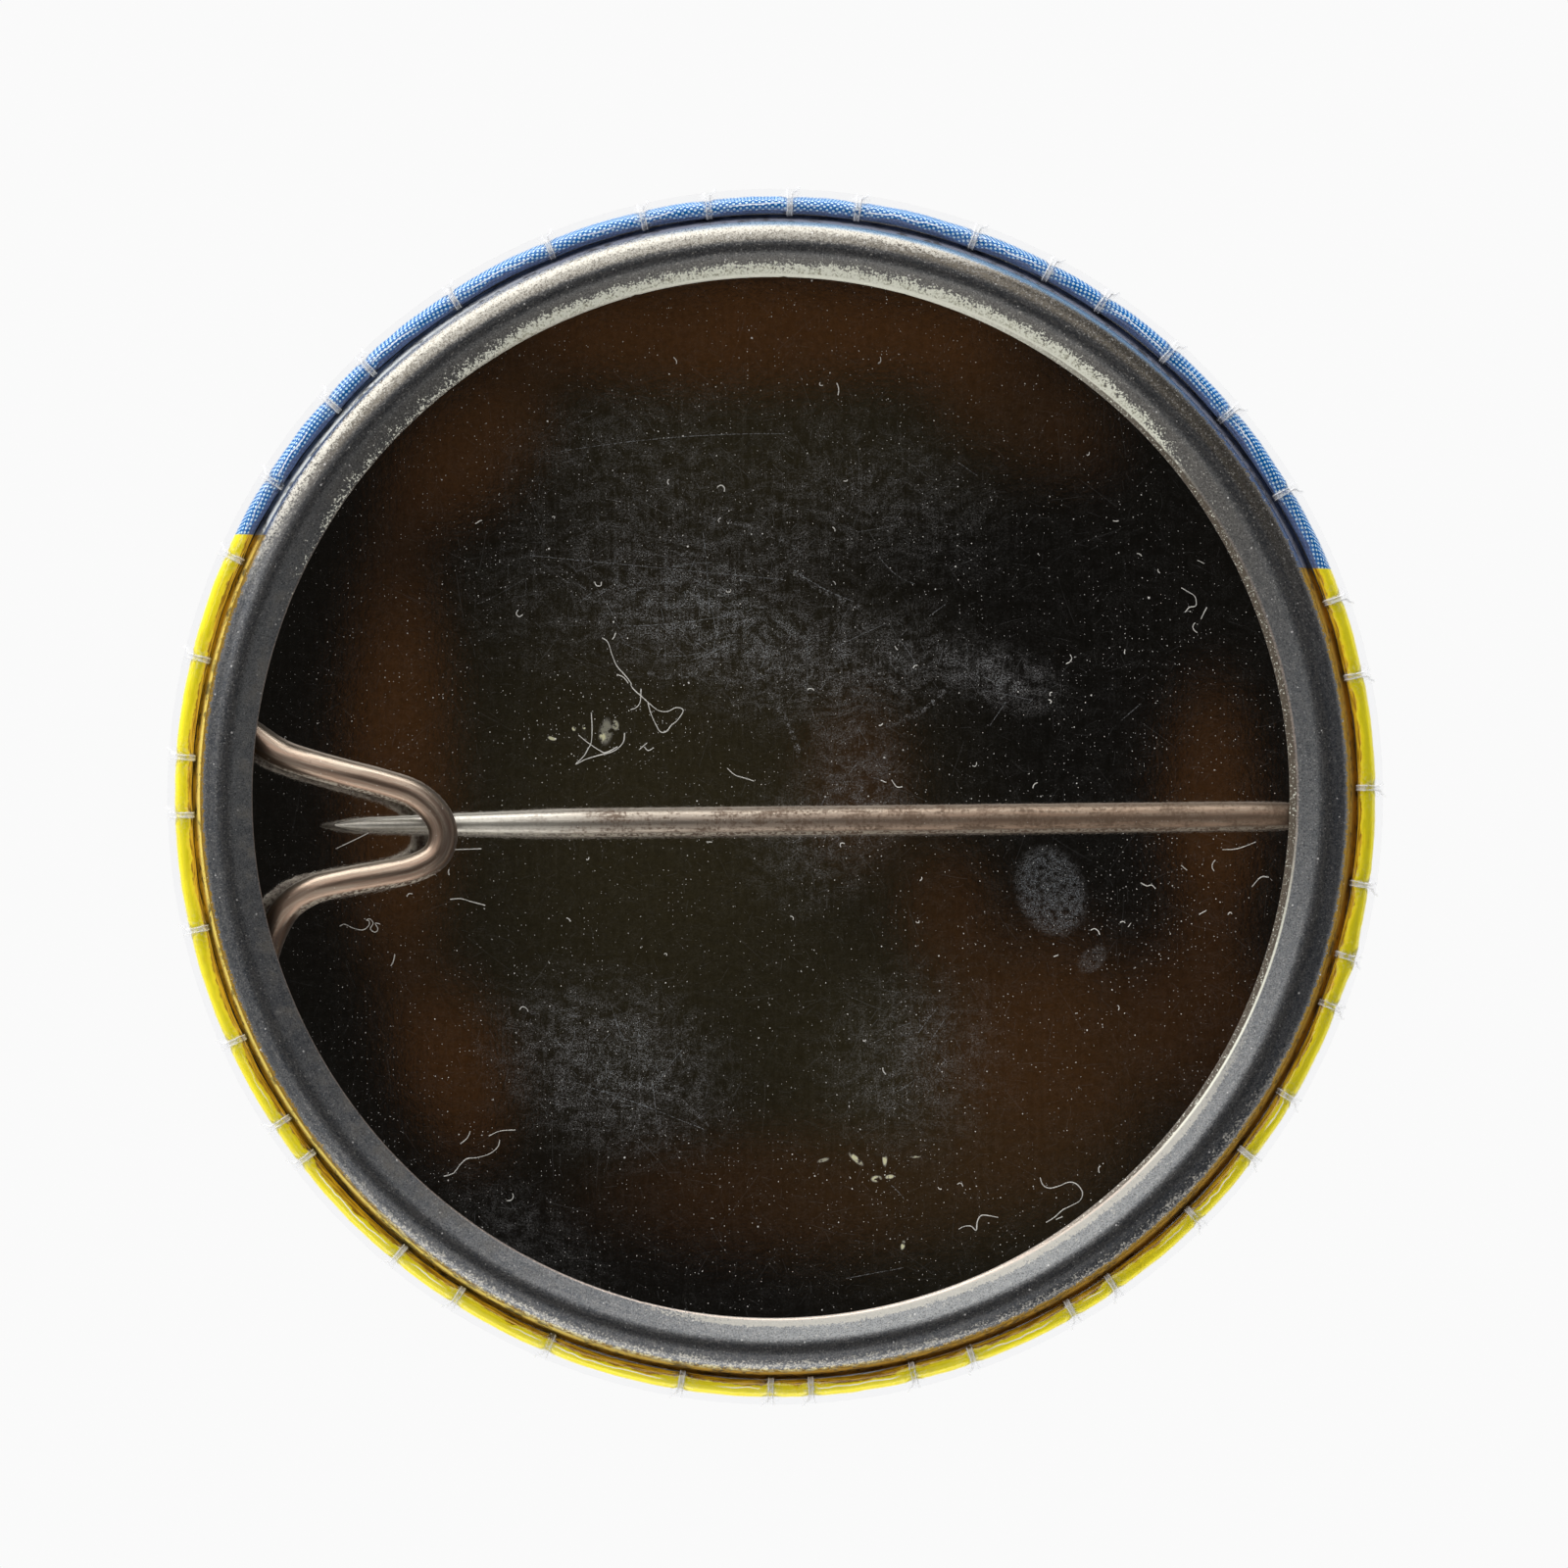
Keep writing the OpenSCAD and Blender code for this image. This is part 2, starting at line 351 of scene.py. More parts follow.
def placed(name, mesh):
    mesh.shade_smooth()
    mesh.set_sharp_from_angle(angle=math.radians(badge["sharpOver"]))
    return inScene(name, mesh)


def dressed(piece, finish, body, slot, *nodes):
    piece.data.materials.clear()
    piece.data.materials.append(finish)
    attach(piece, body)
    if nodes:
        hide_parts(*nodes)
    return piece


# Folded rim: the film is pinched into pleats, and the paper wrinkles beside them.
rim = {
    "steps": 900,
    "paperSteps": 720,
    "notch": 0.035,  # how far the outline dips at a pleat
    "notchHalf": 0.5,  # degrees
    "pinchFade": 0.8,
    "crinkleFade": 0.9,
    "crinkles": 9,
    "recede": 0.04,  # how far the fold's inner edge lies back midway between two pleats
    "innerFrom": 75,  # where the fold's inner side starts, and where it is reached
    "innerTo": 150,
    "slackOver": 8,  # degrees between two pleats from which the film there is fully slack
    "slackSpread": 0.25,
    "peak": 0.58,  # where the film is slackest, as a share of the way between two pleats
    "peakSpread": 0.22,
    "ripple": 0.016,
    "slow": (0.35, 0.01, 3),  # noise: how fine round the rim and across it, and its place
    "fine": (1.7, 0.015, 7),
    "bulge": (0.8, 0.02, 11),
    "loose": 0.012,  # how far the film stands off the paper between two pleats
    "bubbleAt": 343.8,  # a loose place beside one pleat
    "bubbleHalf": 3.2,
    "bubble": 0.1,
}
# Pleats: place in degrees, and how far each stands out
pleats = [
    (0.3, 0.2), (11.2, 0.22), (18.8, 0.24), (30.3, 0.24), (39.6, 0.2), (47.8, 0.22),
    (55.9, 0.22), (61.9, 0.2), (69.8, 0.2), (81.4, 0.2), (88, 0.16), (95.9, 0.22),
    (102.3, 0.18), (111.8, 0.2), (122.3, 0.2), (132.9, 0.18), (137.9, 0.22), (147.3, 0.18),
    (155.6, 0.22), (165.9, 0.2), (175.6, 0.16), (181.2, 0.2), (192.4, 0.22), (203.8, 0.22),
    (212.8, 0.2), (217, 0.18), (230, 0.24), (237, 0.2), (247, 0.24), (260.3, 0.24),
    (269, 0.18), (272.9, 0.2), (282.9, 0.22), (288.8, 0.2), (299.4, 0.18), (304.1, 0.24),
    (314.4, 0.22), (322.3, 0.2), (329.1, 0.22), (338.8, 0.2), (343.8, 0.3), (350.9, 0.2),
]
pleatTurns = [turn for turn, _ in pleats]


def eased(value, start, end):
    share = min(max((value - start) / (end - start), 0), 1)
    return share * share * (3 - 2 * share)


# How the rim is gathered at an angle: 1 midway between two pleats and 0 at them, and 1 in a pleat
def gathering(degrees):
    gaps = list(zip(pleatTurns, pleatTurns[1:] + [pleatTurns[0] + 360]))
    here = degrees if degrees >= pleatTurns[0] else degrees + 360
    for i, (start, end) in enumerate(gaps):
        if start <= here < end:
            share = (here - start) / (end - start)
            spread = rim["slackSpread"] * math.sin(4.1 * i)
            slack = min(1, (end - start) / rim["slackOver"]) * (1 - rim["slackSpread"] + spread)
            nearest = min(here - start, end - here)
            peak = rim["peak"] + rim["peakSpread"] * math.sin(2.4 * i)
            wave = slack * math.sin(math.pi * share ** (math.log(0.5) / math.log(peak))) ** 0.7
            return wave, math.exp(-((nearest / rim["notchHalf"]) ** 2)), nearest
    return 0, 0, 0


gathered = {}
for rimSteps in (rim["steps"], rim["paperSteps"]):
    for rimTurn in [360 * step / rimSteps for step in range(rimSteps)]:
        gathered[rimTurn] = gathering(rimTurn)


def rippled(row, degrees, roundFine, acrossFine, seed):
    return noise.noise(Vector((degrees * roundFine, row[2] * acrossFine, seed)))


def rimShape(row, degrees):
    _, _, turn, _, lift = row
    if lift == 0:
        return 0, 0
    wave, pinch, nearest = gathered[degrees]
    inner = eased(turn, rim["innerFrom"], rim["innerTo"])
    outer = 1 - inner
    crinkle = math.exp(-nearest / rim["crinkleFade"]) * math.sin(nearest * rim["crinkles"] + degrees)
    slow = rippled(row, degrees, *rim["slow"])
    fine = rippled(row, degrees, *rim["fine"])
    out = -rim["notch"] * pinch * outer + rim["recede"] * wave * inner
    out += rim["ripple"] * (crinkle * outer + slow + 0.5 * fine)
    away = abs(degrees - rim["bubbleAt"])
    out += rim["bubble"] * (1 - eased(away, 0, rim["bubbleHalf"])) * outer
    up = -0.4 * rim["recede"] * wave * inner + rim["ripple"] * 0.8 * slow * eased(turn, 30, 90)
    return out * lift, up * lift


def filmShape(row, degrees):
    out, up = rimShape(row, degrees)
    wave = gathered[degrees][0]
    loose = rim["loose"] * (1 + rippled(row, degrees, *rim["bulge"]))
    return out + loose * wave * row[4], up


def flatPlace(row, degrees):  # where a point of the sheet was before it was wrapped, in centimetres
    return polar((0, 0), row[3] * 0.1, degrees)


def pinchAt(degrees):
    return math.exp(-gathered[degrees][2] / rim["pinchFade"])


rimMarks = {
    "UVMap": flatPlace,
    "foldAngle": lambda row, degrees: row[2] if row[4] else 0,
    "gather": lambda row, degrees: gathered[degrees][0] if row[4] else 0.5,
    "pinch": lambda row, degrees: pinchAt(degrees) if row[4] else 0,
}


def layerRows(tuck, depth, thickness):
    path = withWay(skinRows(tuck))
    loop = moved(path, -depth) + moved(path, -depth - thickness)[::-1]
    return [(max(row[0], 0), *row[1:]) for row in loop]


# Front shell: bright tinplate, seen from its hollow inside
shell = {
    "steps": 480,
    "edgeRadius": 0.085,
    "edgeSteps": 8,
    "insideTop": 0.6,  # how far under the edge the last row of the inner face lies
    "dull": (0.43, 0.42, 0.41),
    "bright": (0.66, 0.65, 0.64),
    "haze": (0.5, 0.545, 0.59),
    "dust": (0.95, 0.93, 0.88),
    "cream": (0.8, 0.78, 0.5),
    "grains": [(0.9, 4, 0.6), (5.0, 3, 0.6), (13.0, 2, 0.7), (26.0, 1, 0.6)],
    "wipes": (1.3, 2.3, 1),  # how the wiped haze is drawn out, and its turn
    "wipeTurn": 8.02,
    "smearHalf": 0.13,
    "scratchHalf": 0.016,
    "scuffs": [(0.5, 0.26, 0.01, 0.02, 0.6, 3.1), (1.6, 1.0, 0.011, 0.08, 0.6, 8.7)],
    "roughness": 0.05,
    "peel": 0.0016,  # depth of the rolled sheet's orange peel
}
# Soft worn patches: x, y, half width, half height, turn, strength
hazeChart = [
    (-4.5, 11.2, 5.5, 2.4, 8, 0.25), (-3.2, 7.2, 8, 4.6, 8, 0.45),
    (-2.2, 5.6, 4.2, 2.4, -15, 0.55), (3.4, 9.4, 5.5, 3.2, -25, 0.3), (1.8, 4.1, 6, 2.6, 5, 0.6),
    (7.1, 3.7, 2.9, 1.3, -18, 0.7), (-5.2, -8.4, 5.2, 3.6, -18, 0.75),
    (4.2, -8.3, 3.8, 3.8, 0, 0.45), (2.6, 0.6, 2.2, 3.2, 15, 0.45), (1.0, -1.5, 3.0, 3.0, 0, 0.35),
    (-8.0, -13.5, 4, 1.6, -35, 0.3),
]
thumbMark = [(8.62, -3.05, 1.2, 1.6, 20, 1.0), (9.9, -5.2, 0.6, 0.4, 40, 0.5)]
# Where the dust lies thicker
dustChart = [
    (-5.4, 2.4, 4.6, 2.2, 0, 1.0), (11.6, -3.6, 3.2, 3.8, 0, 1.0), (12.2, 4.6, 2.8, 3.4, 0, 0.5),
    (3.6, -12.4, 2.6, 2.2, 0, 0.8), (-12.6, -9.0, 2.2, 4.0, 25, 0.5),
    (-8.5, 8.5, 4.0, 4.0, 0, 0.4),
]
creamChart = [
    (-5.0, 2.3, 0.13, 0.2, 10, 0.7), (-5.3, 2.1, 0.26, 0.5, -8, 0.42),
    (-5.42, 1.92, 0.13, 0.16, -20, 0.7), (2.42, -11.4, 0.34, 0.1, -42, 1),
    (3.32, -11.4, 0.09, 0.26, 0, 1), (3.05, -12.02, 0.2, 0.12, 5, 1),
    (3.47, -11.96, 0.17, 0.08, 8, 1), (1.39, -11.42, 0.22, 0.07, 15, 0.6),
    (4.3, -11.34, 0.24, 0.04, 5, 0.8), (3.86, -14.1, 0.08, 0.18, -14, 1),
    (-6.3, 2.2, 0.08, 0.09, 0, 1), (-5.98, 2.25, 0.07, 0.09, 0, 1),
    (-7.0, 1.9, 0.16, 0.07, -20, 0.9),
]
# Charted smears of the wiped haze: x, y, half length, turn, sag
smearChart = [
    (-2.6, 4.5, 1.5, 22, -0.6), (-3.9, 5.6, 0.9, 80, 0.2), (-1.2, 5.7, 0.7, 70, -0.15),
    (-4.6, 6.4, 1.8, 12, 0.3), (-0.6, 8.2, 1.6, -20, 0.25), (1.7, 6.5, 1.2, -30, -0.1),
    (2.2, 3.4, 2.2, -8, 0.3), (0.2, 2.3, 1.2, -62, 0.2), (4.6, 2.9, 1.3, 35, -0.2),
    (-5.6, -8.1, 1.7, -12, 0.3), (-3.4, -9.6, 1.4, -28, 0.2), (4.4, -7.6, 1.0, 60, 0.15),
]
# Charted scratches: x, y, half length, turn, sag
scratchChart = [
    (-3.12, 11.14, 3.53, 4, 0.16), (-3.64, 7.23, 4, -6, 0), (-2.1, 7.1, 1.3, -86, 0.03),
    (-1.95, 5.9, 0.7, -79, 0.02), (-3.4, 4.75, 1.35, -6, -0.28), (-2.6, 5.65, 2.0, 7, -0.12),
    (1.61, 6.6, 1.06, -28, -0.08), (3.88, 7.09, 0.72, -39, -0.13), (5.16, 5.81, 0.32, 35, 0),
    (6.14, 10.22, 0.37, -35, 0), (7.01, 2.52, 0.46, 55, 0), (11.2, 2.55, 0.4, 40, 0),
    (-5.48, -9.21, 1.14, -19, 0), (-3.37, -10, 1.11, -22, 0), (4.75, -7.02, 0.56, 53, 0),
    (4.9, -7.56, 0.73, 56, 0), (2.97, -14.96, 0.91, 10, 0), (3.72, -12.45, 0.3, -48, 0.02),
]


def brightTinplate():
    finish, graph, place = newFinish("bright tinplate")
    x, y, _ = partsOf(place)
    flat = joinParts(x, y, 0.0)
    cloud, mottle, fine, grit = grains(flat, shell["grains"])
    swirled = grain(flat, 0.45, 2, 0.5, "Color").vector("MULTIPLY_ADD", (1.8, 1.8, 0), flat)
    smear = grain(stretched(swirled, shell["wipes"], shell["wipeTurn"]), 1.1, 6, 0.75)
    streaks = grain(stretched(flat, (7.0, 0.8, 1)), 1.0, 3, 0.65)

    hazy = patches(flat, hazeChart)
    worn = smear.smooth(0.4, 0.66) * 0.7 + streaks.smooth(0.42, 0.72) * 0.3 + 0.03
    smears = strokes(flat, smearChart, shell["smearHalf"]) * mottle.smooth(0.42, 0.6) * 0.5
    worn = ((hazy * 0.95 + 0.05) * worn).most(smears) * (fine * 0.5 + grit * 0.6).smooth(0.46, 0.7)
    blots = (fine * 0.4 + grit * 0.6).smooth(0.4, 0.62) * mottle.smooth(0.32, 0.56)
    thumb = patches(flat, thumbMark, 0.7) * blots
    short, long = [hairs(flat, *row) for row in shell["scuffs"]]
    lines = short.most(long) * (hazy * 0.85 + 0.15) * cloud.smooth(0.3, 0.6)
    deep = strokes(flat, scratchChart, shell["scratchHalf"]) * fine.smooth(0.35, 0.6)
    lines = lines.most(deep * 0.7)
    thick = patches(flat, dustChart) * 0.3 + cloud.smooth(0.42, 0.7) * 0.25
    dust = specks(flat, 0.14, 0.018, thick + 0.14, 1.3, fine) * mottle.smooth(0.3, 0.6)
    dust = dust.most(specks(flat, 0.36, 0.026, thick + 0.05, 5.9, fine))
    dust = dust.most(specks(flat, 2.1, 0.045, 0.16, 2.4, fine))
    cream = patches(flat, creamChart, 0.5) * mottle.smooth(0.36, 0.5)

    tone = mottle * 0.5 + fine * 0.3 + streaks * 0.2
    metal = mixed(tone.smooth(0.3, 0.7), shell["dull"], shell["bright"])
    haze = (worn + lines + thumb).least(1)
    cover = (worn * 0.8 + lines * 0.45 + thumb * 0.28).most(dust).most(cream)
    sockets = {
        "Base Color": layered(metal, (haze, shell["haze"]), (dust, shell["dust"]), (cream, shell["cream"])),
        "Metallic": 1 - cover,
        "Roughness": (worn + dust) * 0.15 + shell["roughness"],
        "Normal": raised(tone, shell["peel"]),
    }
    return shown(finish, graph.coat(sockets))


def makeShell():
    path = withWay(frontRows() + sideRows())
    top = foldMid[1] + shell["edgeRadius"] - shell["insideTop"]
    edgeMid = (foldMid[0] + badge["sheet"] / 2 - shell["edgeRadius"], foldMid[1])
    edge = arcRows(edgeMid, shell["edgeRadius"], sideAngle, sideAngle + 180, shell["edgeSteps"])
    inside = [row for row in moved(path, -skin - badge["sheet"]) if row[1] < top]
    rows = moved(path, -skin) + withWay(edge) + inside[::-1]
    rows[-1] = (0, rows[-1][1], *rows[-1][2:])
    piece = turned("shell", rows, shell["steps"])
    return dressed(piece, brightTinplate(), "badge", "bright_tinplate", "front_shell")


# Printed paper: yellow below a level line, blue halftone above it
paper = {
    "lineHeight": 7.64,
    "lineSlope": -2.4,
    "lineSoft": 0.02,
    "yellow": (0.88, 0.77, 0.02),
    "amber": (0.66, 0.5, 0.008),
    "blueDot": (0.004, 0.13, 0.42),
    "blueGround": (0.66, 0.88, 0.96),
    # The fold's inner side, painted in shade: amber and brown on the yellow, navy on the blue, darkest
    # beside the pleats
    "amberFoldShade": (0.7, 0.43, 0.02),
    "brownFoldShade": (0.3, 0.14, 0.008),
    "navyFoldShade": (0.1, 0.15, 0.34),
    "darkFoldShade": (0.035, 0.03, 0.03),
    "amberGlow": (0.2, 0.125, 0.007),  # painted light: emission that brightens the fold's shaded inner side
    "westGlow": (0.27, 0.18, 0.02),
    "navyGlow": (0.035, 0.05, 0.09),
    "creased": (0.85, 0.86, 0.86),
    "grains": [(1.6, 3, 0.6), (9.0, 2, 0.6)],
    "dotPitch": 0.168,
    "dotTurn": 44.4,
}


noLight = (0, 0, 0)


def levelHeight(x, y):  # height square to the print's level line
    tilt = math.radians(paper["lineSlope"])
    return y * math.cos(tilt) - x * math.sin(tilt)


def rimMarksOf(graph):
    return [graph.mark(name) for name in ("foldAngle", "gather", "pinch")]


def printedPaper():
    finish, graph, place = newFinish("printed paper")
    x, y, radius = fromAxis(place)
    fold, gather, pinch = rimMarksOf(graph)
    above = levelHeight(x, y) - paper["lineHeight"]
    blueSide = above.smooth(-paper["lineSoft"], paper["lineSoft"])
    pitch = 2 * math.pi * 10 / paper["dotPitch"]
    sheet = graph.add("ShaderNodeUVMap", {"uv_map": "UVMap"})
    across, down, _ = partsOf(stretched(sheet, (pitch,) * 3, paper["dotTurn"]))
    dots = (across.maths("COSINE", across) + down.maths("COSINE", down)).smooth(-1.2, -0.25)
    blue = mixed(dots, paper["blueGround"], paper["blueDot"])

    tone, fine = grains(place, paper["grains"])
    yellow = mixed(tone.smooth(0.5, 0.8) * 0.5, paper["yellow"], paper["amber"])
    creases = grain(joinParts(x / radius * 22, y / radius * 22, fold * 0.07), 1.0, 2, 0.6)
    # edge: how far round the fold its painted shade reaches, moved by the gathers and noise, and sooner in
    # the south
    south = y.smooth(-4, -12)
    edge = fold + gather * 34 + (fine - 0.5) * 12 + (tone - 0.5) * 90 + south * 12
    amber = mixed(creases.smooth(0.4, 0.58), paper["amberFoldShade"], paper["brownFoldShade"])
    shaded = mixed(blueSide, amber, mixed(dots * 0.5, paper["navyFoldShade"], paper["darkFoldShade"]))
    # deep: the darkest painted shade, beside the pleats
    deep = edge.smooth(140, 150) * (creases * 0.7 + pinch * 0.35).smooth(0.5, 0.6)
    crease = pinch * fine.smooth(0.5, 0.62) * (fold > 5)
    # Painted light in the fold's shade: an emission, stronger to the west and weaker to the south
    west = x.smooth(-5, -14) * 0.8
    lit = mixed(west * (1 - south * 0.8), paper["amberGlow"], paper["westGlow"])
    glow = edge.smooth(92, 122) * (creases.smooth(0.64, 0.44) * 0.6 + 0.4) * (1 - deep * 0.8)
    glow = glow * (1 - south * edge.smooth(108, 122) * 0.7)
    layers = [
        (edge.smooth(128, 140), shaded),
        (deep * 0.85, paper["darkFoldShade"]),
        (crease * 0.4, paper["creased"]),
    ]
    sockets = {
        "Base Color": layered(mixed(blueSide, yellow, blue), *layers),
        "Roughness": fine * 0.2 + 0.45,
        "Specular IOR Level": 0.0,
        "Emission Color": mixed(glow, noLight, mixed(blueSide, lit, paper["navyGlow"])),
        "Emission Strength": 1.0,
        "Normal": raised(fine, 0.004),
    }
    return shown(finish, graph.coat(sockets))


def makePaper():
    rows = layerRows(badge["paperTuck"], badge["film"] + badge["gap"], badge["paper"])
    piece = turned("printed_paper", rows, rim["paperSteps"], shape=rimShape, marks=rimMarks)
    return dressed(piece, printedPaper(), "badge", "printed_paper", "printed_disc")


# Clear film over the paper
film = {
    "roughness": 0.07,
    "ior": 1.5,
    "tint": (0.9, 0.905, 0.92),
    "glintRidge": 0.028,
    # crease: a painted highlight along the ridge, white and giving off a little light
    "crease": (0.92, 0.93, 0.95),
    "glintGlow": (0.2, 0.2, 0.2),
    "scuffs": (1.3, 0.6, 0.016, 0.1, 0.5, 2.2),
}


def clearFilm():
    finish, graph, place = newFinish("clear film")
    _, y, _ = partsOf(place)
    fold, gather, pinch = rimMarksOf(graph)
    waves = grain(place, 1.4, 2, 0.5)
    front = 1 - graph.add("ShaderNodeNewGeometry", out="Backfacing")
    gloss = graph.add("ShaderNodeFresnel", {}, {"IOR": film["ior"]})
    facing = graph.add("ShaderNodeLayerWeight", {}, {"Blend": 0.5}, "Facing")
    graze = facing.smooth(0.5, 0.9) * (fold < 70)
    scuff = hairs(place, *film["scuffs"])
    milk = pinch * grain(place, 7.0, 2, 0.6).smooth(0.45, 0.65) * (fold > 5)
    bent = fold + waves * 40 + gather * 8
    # Painted highlight along the film's ridge, north and south where it faces the lamps; the ridge is also a
    # real bump
    toLamps = y.smooth(7, 11).most(y.smooth(-7, -11))
    glintRidge = bent.smooth(101, 106) * bent.smooth(112, 107) * gather.smooth(0.35, 0.65) * toLamps
    shine = {
        "Base Color": film["tint"],
        "Metallic": 1.0,
        "Roughness": waves * 0.04 + film["roughness"],
        "Normal": raised(waves * 0.35 + glintRidge, film["glintRidge"]),
    }
    crease = {
        "Base Color": film["crease"],
        "Roughness": 0.4,
        "Emission Color": film["glintGlow"],
        "Emission Strength": 1.0,
    }
    share = (gloss + graze * 0.6 + scuff * 0.025 + milk * 0.15) * (1 - fold.smooth(105, 125))
    clear = graph.add("ShaderNodeBsdfTransparent")
    shone = graph.blend(share.least(1) * front, clear, graph.coat(shine))
    return shown(finish, graph.blend(glintRidge * front * 0.75, shone, graph.coat(crease)))


def makeFilm():
    rows = layerRows(badge["filmTuck"], 0, badge["film"])
    piece = turned("clear_film_cover", rows, rim["steps"], shape=filmShape, marks=rimMarks)
    return dressed(piece, clearFilm(), "badge", "clear_film", "clear_film")


# Collet: a rolled channel of worn tinplate
collet = {
    "steps": 720,
    "top": 5.0,
    "lipInside": 16.19,
    "lipRadius": 0.3,
    "lipTurn": 0.13,  # radius of the tighter bend on top of the rolled edge
    "crownRadius": 1.06,
    "bendRadius": 0.69,
    "cornerRadius": 0.35,
    "flangeHeight": 2.87,
    "flangeInside": 16.7,
    "crownFrom": 70,
    "crownTo": 107,
    "lipTo": 215,
    "cornerSteps": 6,
    "bendSteps": 12,
    "lipSteps": 8,
    "gap": 0.03,
    "metal": (0.125, 0.135, 0.15),
    "pale": (0.22, 0.222, 0.225),
    "inner": (0.345, 0.355, 0.355),
    "speck": (0.4, 0.39, 0.38),
    "crust": (0.85, 0.86, 0.74),
    "stain": (0.4, 0.39, 0.28),
    # bloom: pale corrosion, and also a painted highlight where the ring faces the lamps
    "bloomAndHighlight": (0.73, 0.7, 0.62),
    # painted reflection of the blue print on the outer wall
    "blueFringeReflection": (0.2, 0.34, 0.5),
    "brown": (0.15, 0.13, 0.1),
    "ledge": (0.1, 0.078, 0.055),
    "edge": (0.62, 0.5, 0.42),
    "pit": (0.03, 0.03, 0.032),
    "sparkle": (0.75, 0.74, 0.72),
    "sparkles": [(0.15, 0.026, 0.45, 6.2), (0.7, 0.045, 0.4, 1.1)],
    "grains": [(14.0, 2, 0.7), (5.0, 3, 0.7), (1.6, 3, 0.65), (24.0, 1, 0.6)],
    "goldWallReflection": (0.3, 0.175, 0.016),  # painted reflection: the print's colours, as the outer wall would mirror them low down
    "blueWallReflection": (0.07, 0.11, 0.21),
    "paleWallReflection": (0.62, 0.56, 0.33),
    "goldGapReflection": (0.42, 0.23, 0.016),  # painted reflection of the print's light, down in the gap beside the fold, brighter to the west
    "westGapReflection": (0.85, 0.68, 0.15),
    "blueGapReflection": (0.14, 0.15, 0.2),
    "paleGapReflection": (0.6, 0.63, 0.62),
    # painted shade in the gap's dark pockets
    "pocketShade": (0.02, 0.016, 0.012),
    "lean": 0.085,  # how far the rolled edge lies off the middle
    "leanTurn": 15,
    "ledgeWidth": 0.11,
    "unevenFrom": 112,  # turns of the section between which the edge grows uneven
    "unevenTo": 175,
    "waver": 0.012,
    "wavers": 3,
    "nick": 0.12,
    "nicks": 95,
    "nickOver": 0.52,  # the random height over which the edge has a nick
    "roughness": 0.22,
}


def colletRows():
    side = math.radians(sideAngle)
    flank = math.radians(collet["crownTo"])
    wallOut = foldMid[0] * math.cos(side) + foldMid[1] * math.sin(side) - foldRadius - collet["gap"]

    def besideWall(radius, height):  # a middle whose arc touches the wall
        return ((wallOut - radius - height * math.sin(side)) / math.cos(side), height)

    def besideFlank(radius):  # a middle at the lip, whose arc touches the flank
        out = collet["lipInside"] + radius
        return out, (flankOut - radius - out * math.cos(flank)) / math.sin(flank)

    bend = collet["bendRadius"] - collet["crownRadius"]
    bendUp = bend * math.sin(math.radians(collet["crownFrom"]))
    corner = besideWall(collet["cornerRadius"], collet["flangeHeight"] + collet["cornerRadius"])
    shoulder = besideWall(collet["bendRadius"], collet["top"] - collet["crownRadius"] - bendUp)
    crown = polar(shoulder, bend, collet["crownFrom"])
    flankOut = crown[0] * math.cos(flank) + crown[1] * math.sin(flank) + collet["crownRadius"]
    lip = (besideFlank(collet["lipRadius"]), collet["lipRadius"])
    edge = (besideFlank(collet["lipTurn"]), collet["lipTurn"], collet["crownTo"])
    steps = collet["bendSteps"]
    rows = [(collet["flangeInside"], collet["flangeHeight"], -90)]
    rows += arcRows(corner, collet["cornerRadius"], -90, sideAngle, collet["cornerSteps"])
    rows += arcRows(shoulder, collet["bendRadius"], sideAngle, collet["crownFrom"], steps)
    rows += arcRows(crown, collet["crownRadius"], collet["crownFrom"], collet["crownTo"], steps, 1)
    ends = list(zip(rows[-1], polar(*edge)))
    for share in (0.1, 0.4, 0.7, 0.9):  # the straight flank
        rows.append((*[a + (b - a) * share for a, b in ends], collet["crownTo"]))
    under = rows + arcRows(*lip, collet["crownTo"], collet["lipTo"], collet["lipSteps"])
    rows += arcRows(*edge, 180, collet["lipSteps"])
    rows += arcRows(*lip, 180, collet["lipTo"], collet["lipSteps"] // 2)
    return rows + moved(under, -badge["sheet"])[::-1]


def colletShape(row, degrees):  # the rolled edge isn't quite even, and it has a few nicks
    share = eased(row[2], collet["unevenFrom"], collet["unevenTo"])
    if share == 0:
        return 0, 0
    x, y = polar((0, 0), 1, degrees)
    wavers, nicks = collet["wavers"], collet["nicks"]
    waver = collet["waver"] * noise.noise(Vector((x * wavers, y * wavers, 5)))
    rough = noise.noise(Vector((x * nicks, y * nicks, 2)))
    nick = collet["nick"] * max(rough - collet["nickOver"], 0)
    toward = math.cos(math.radians(degrees - collet["leanTurn"]))
    lean = collet["lean"] * toward + collet["ledgeWidth"] * max(x, 0) ** 2
    return (waver + nick - lean) * share, waver * share


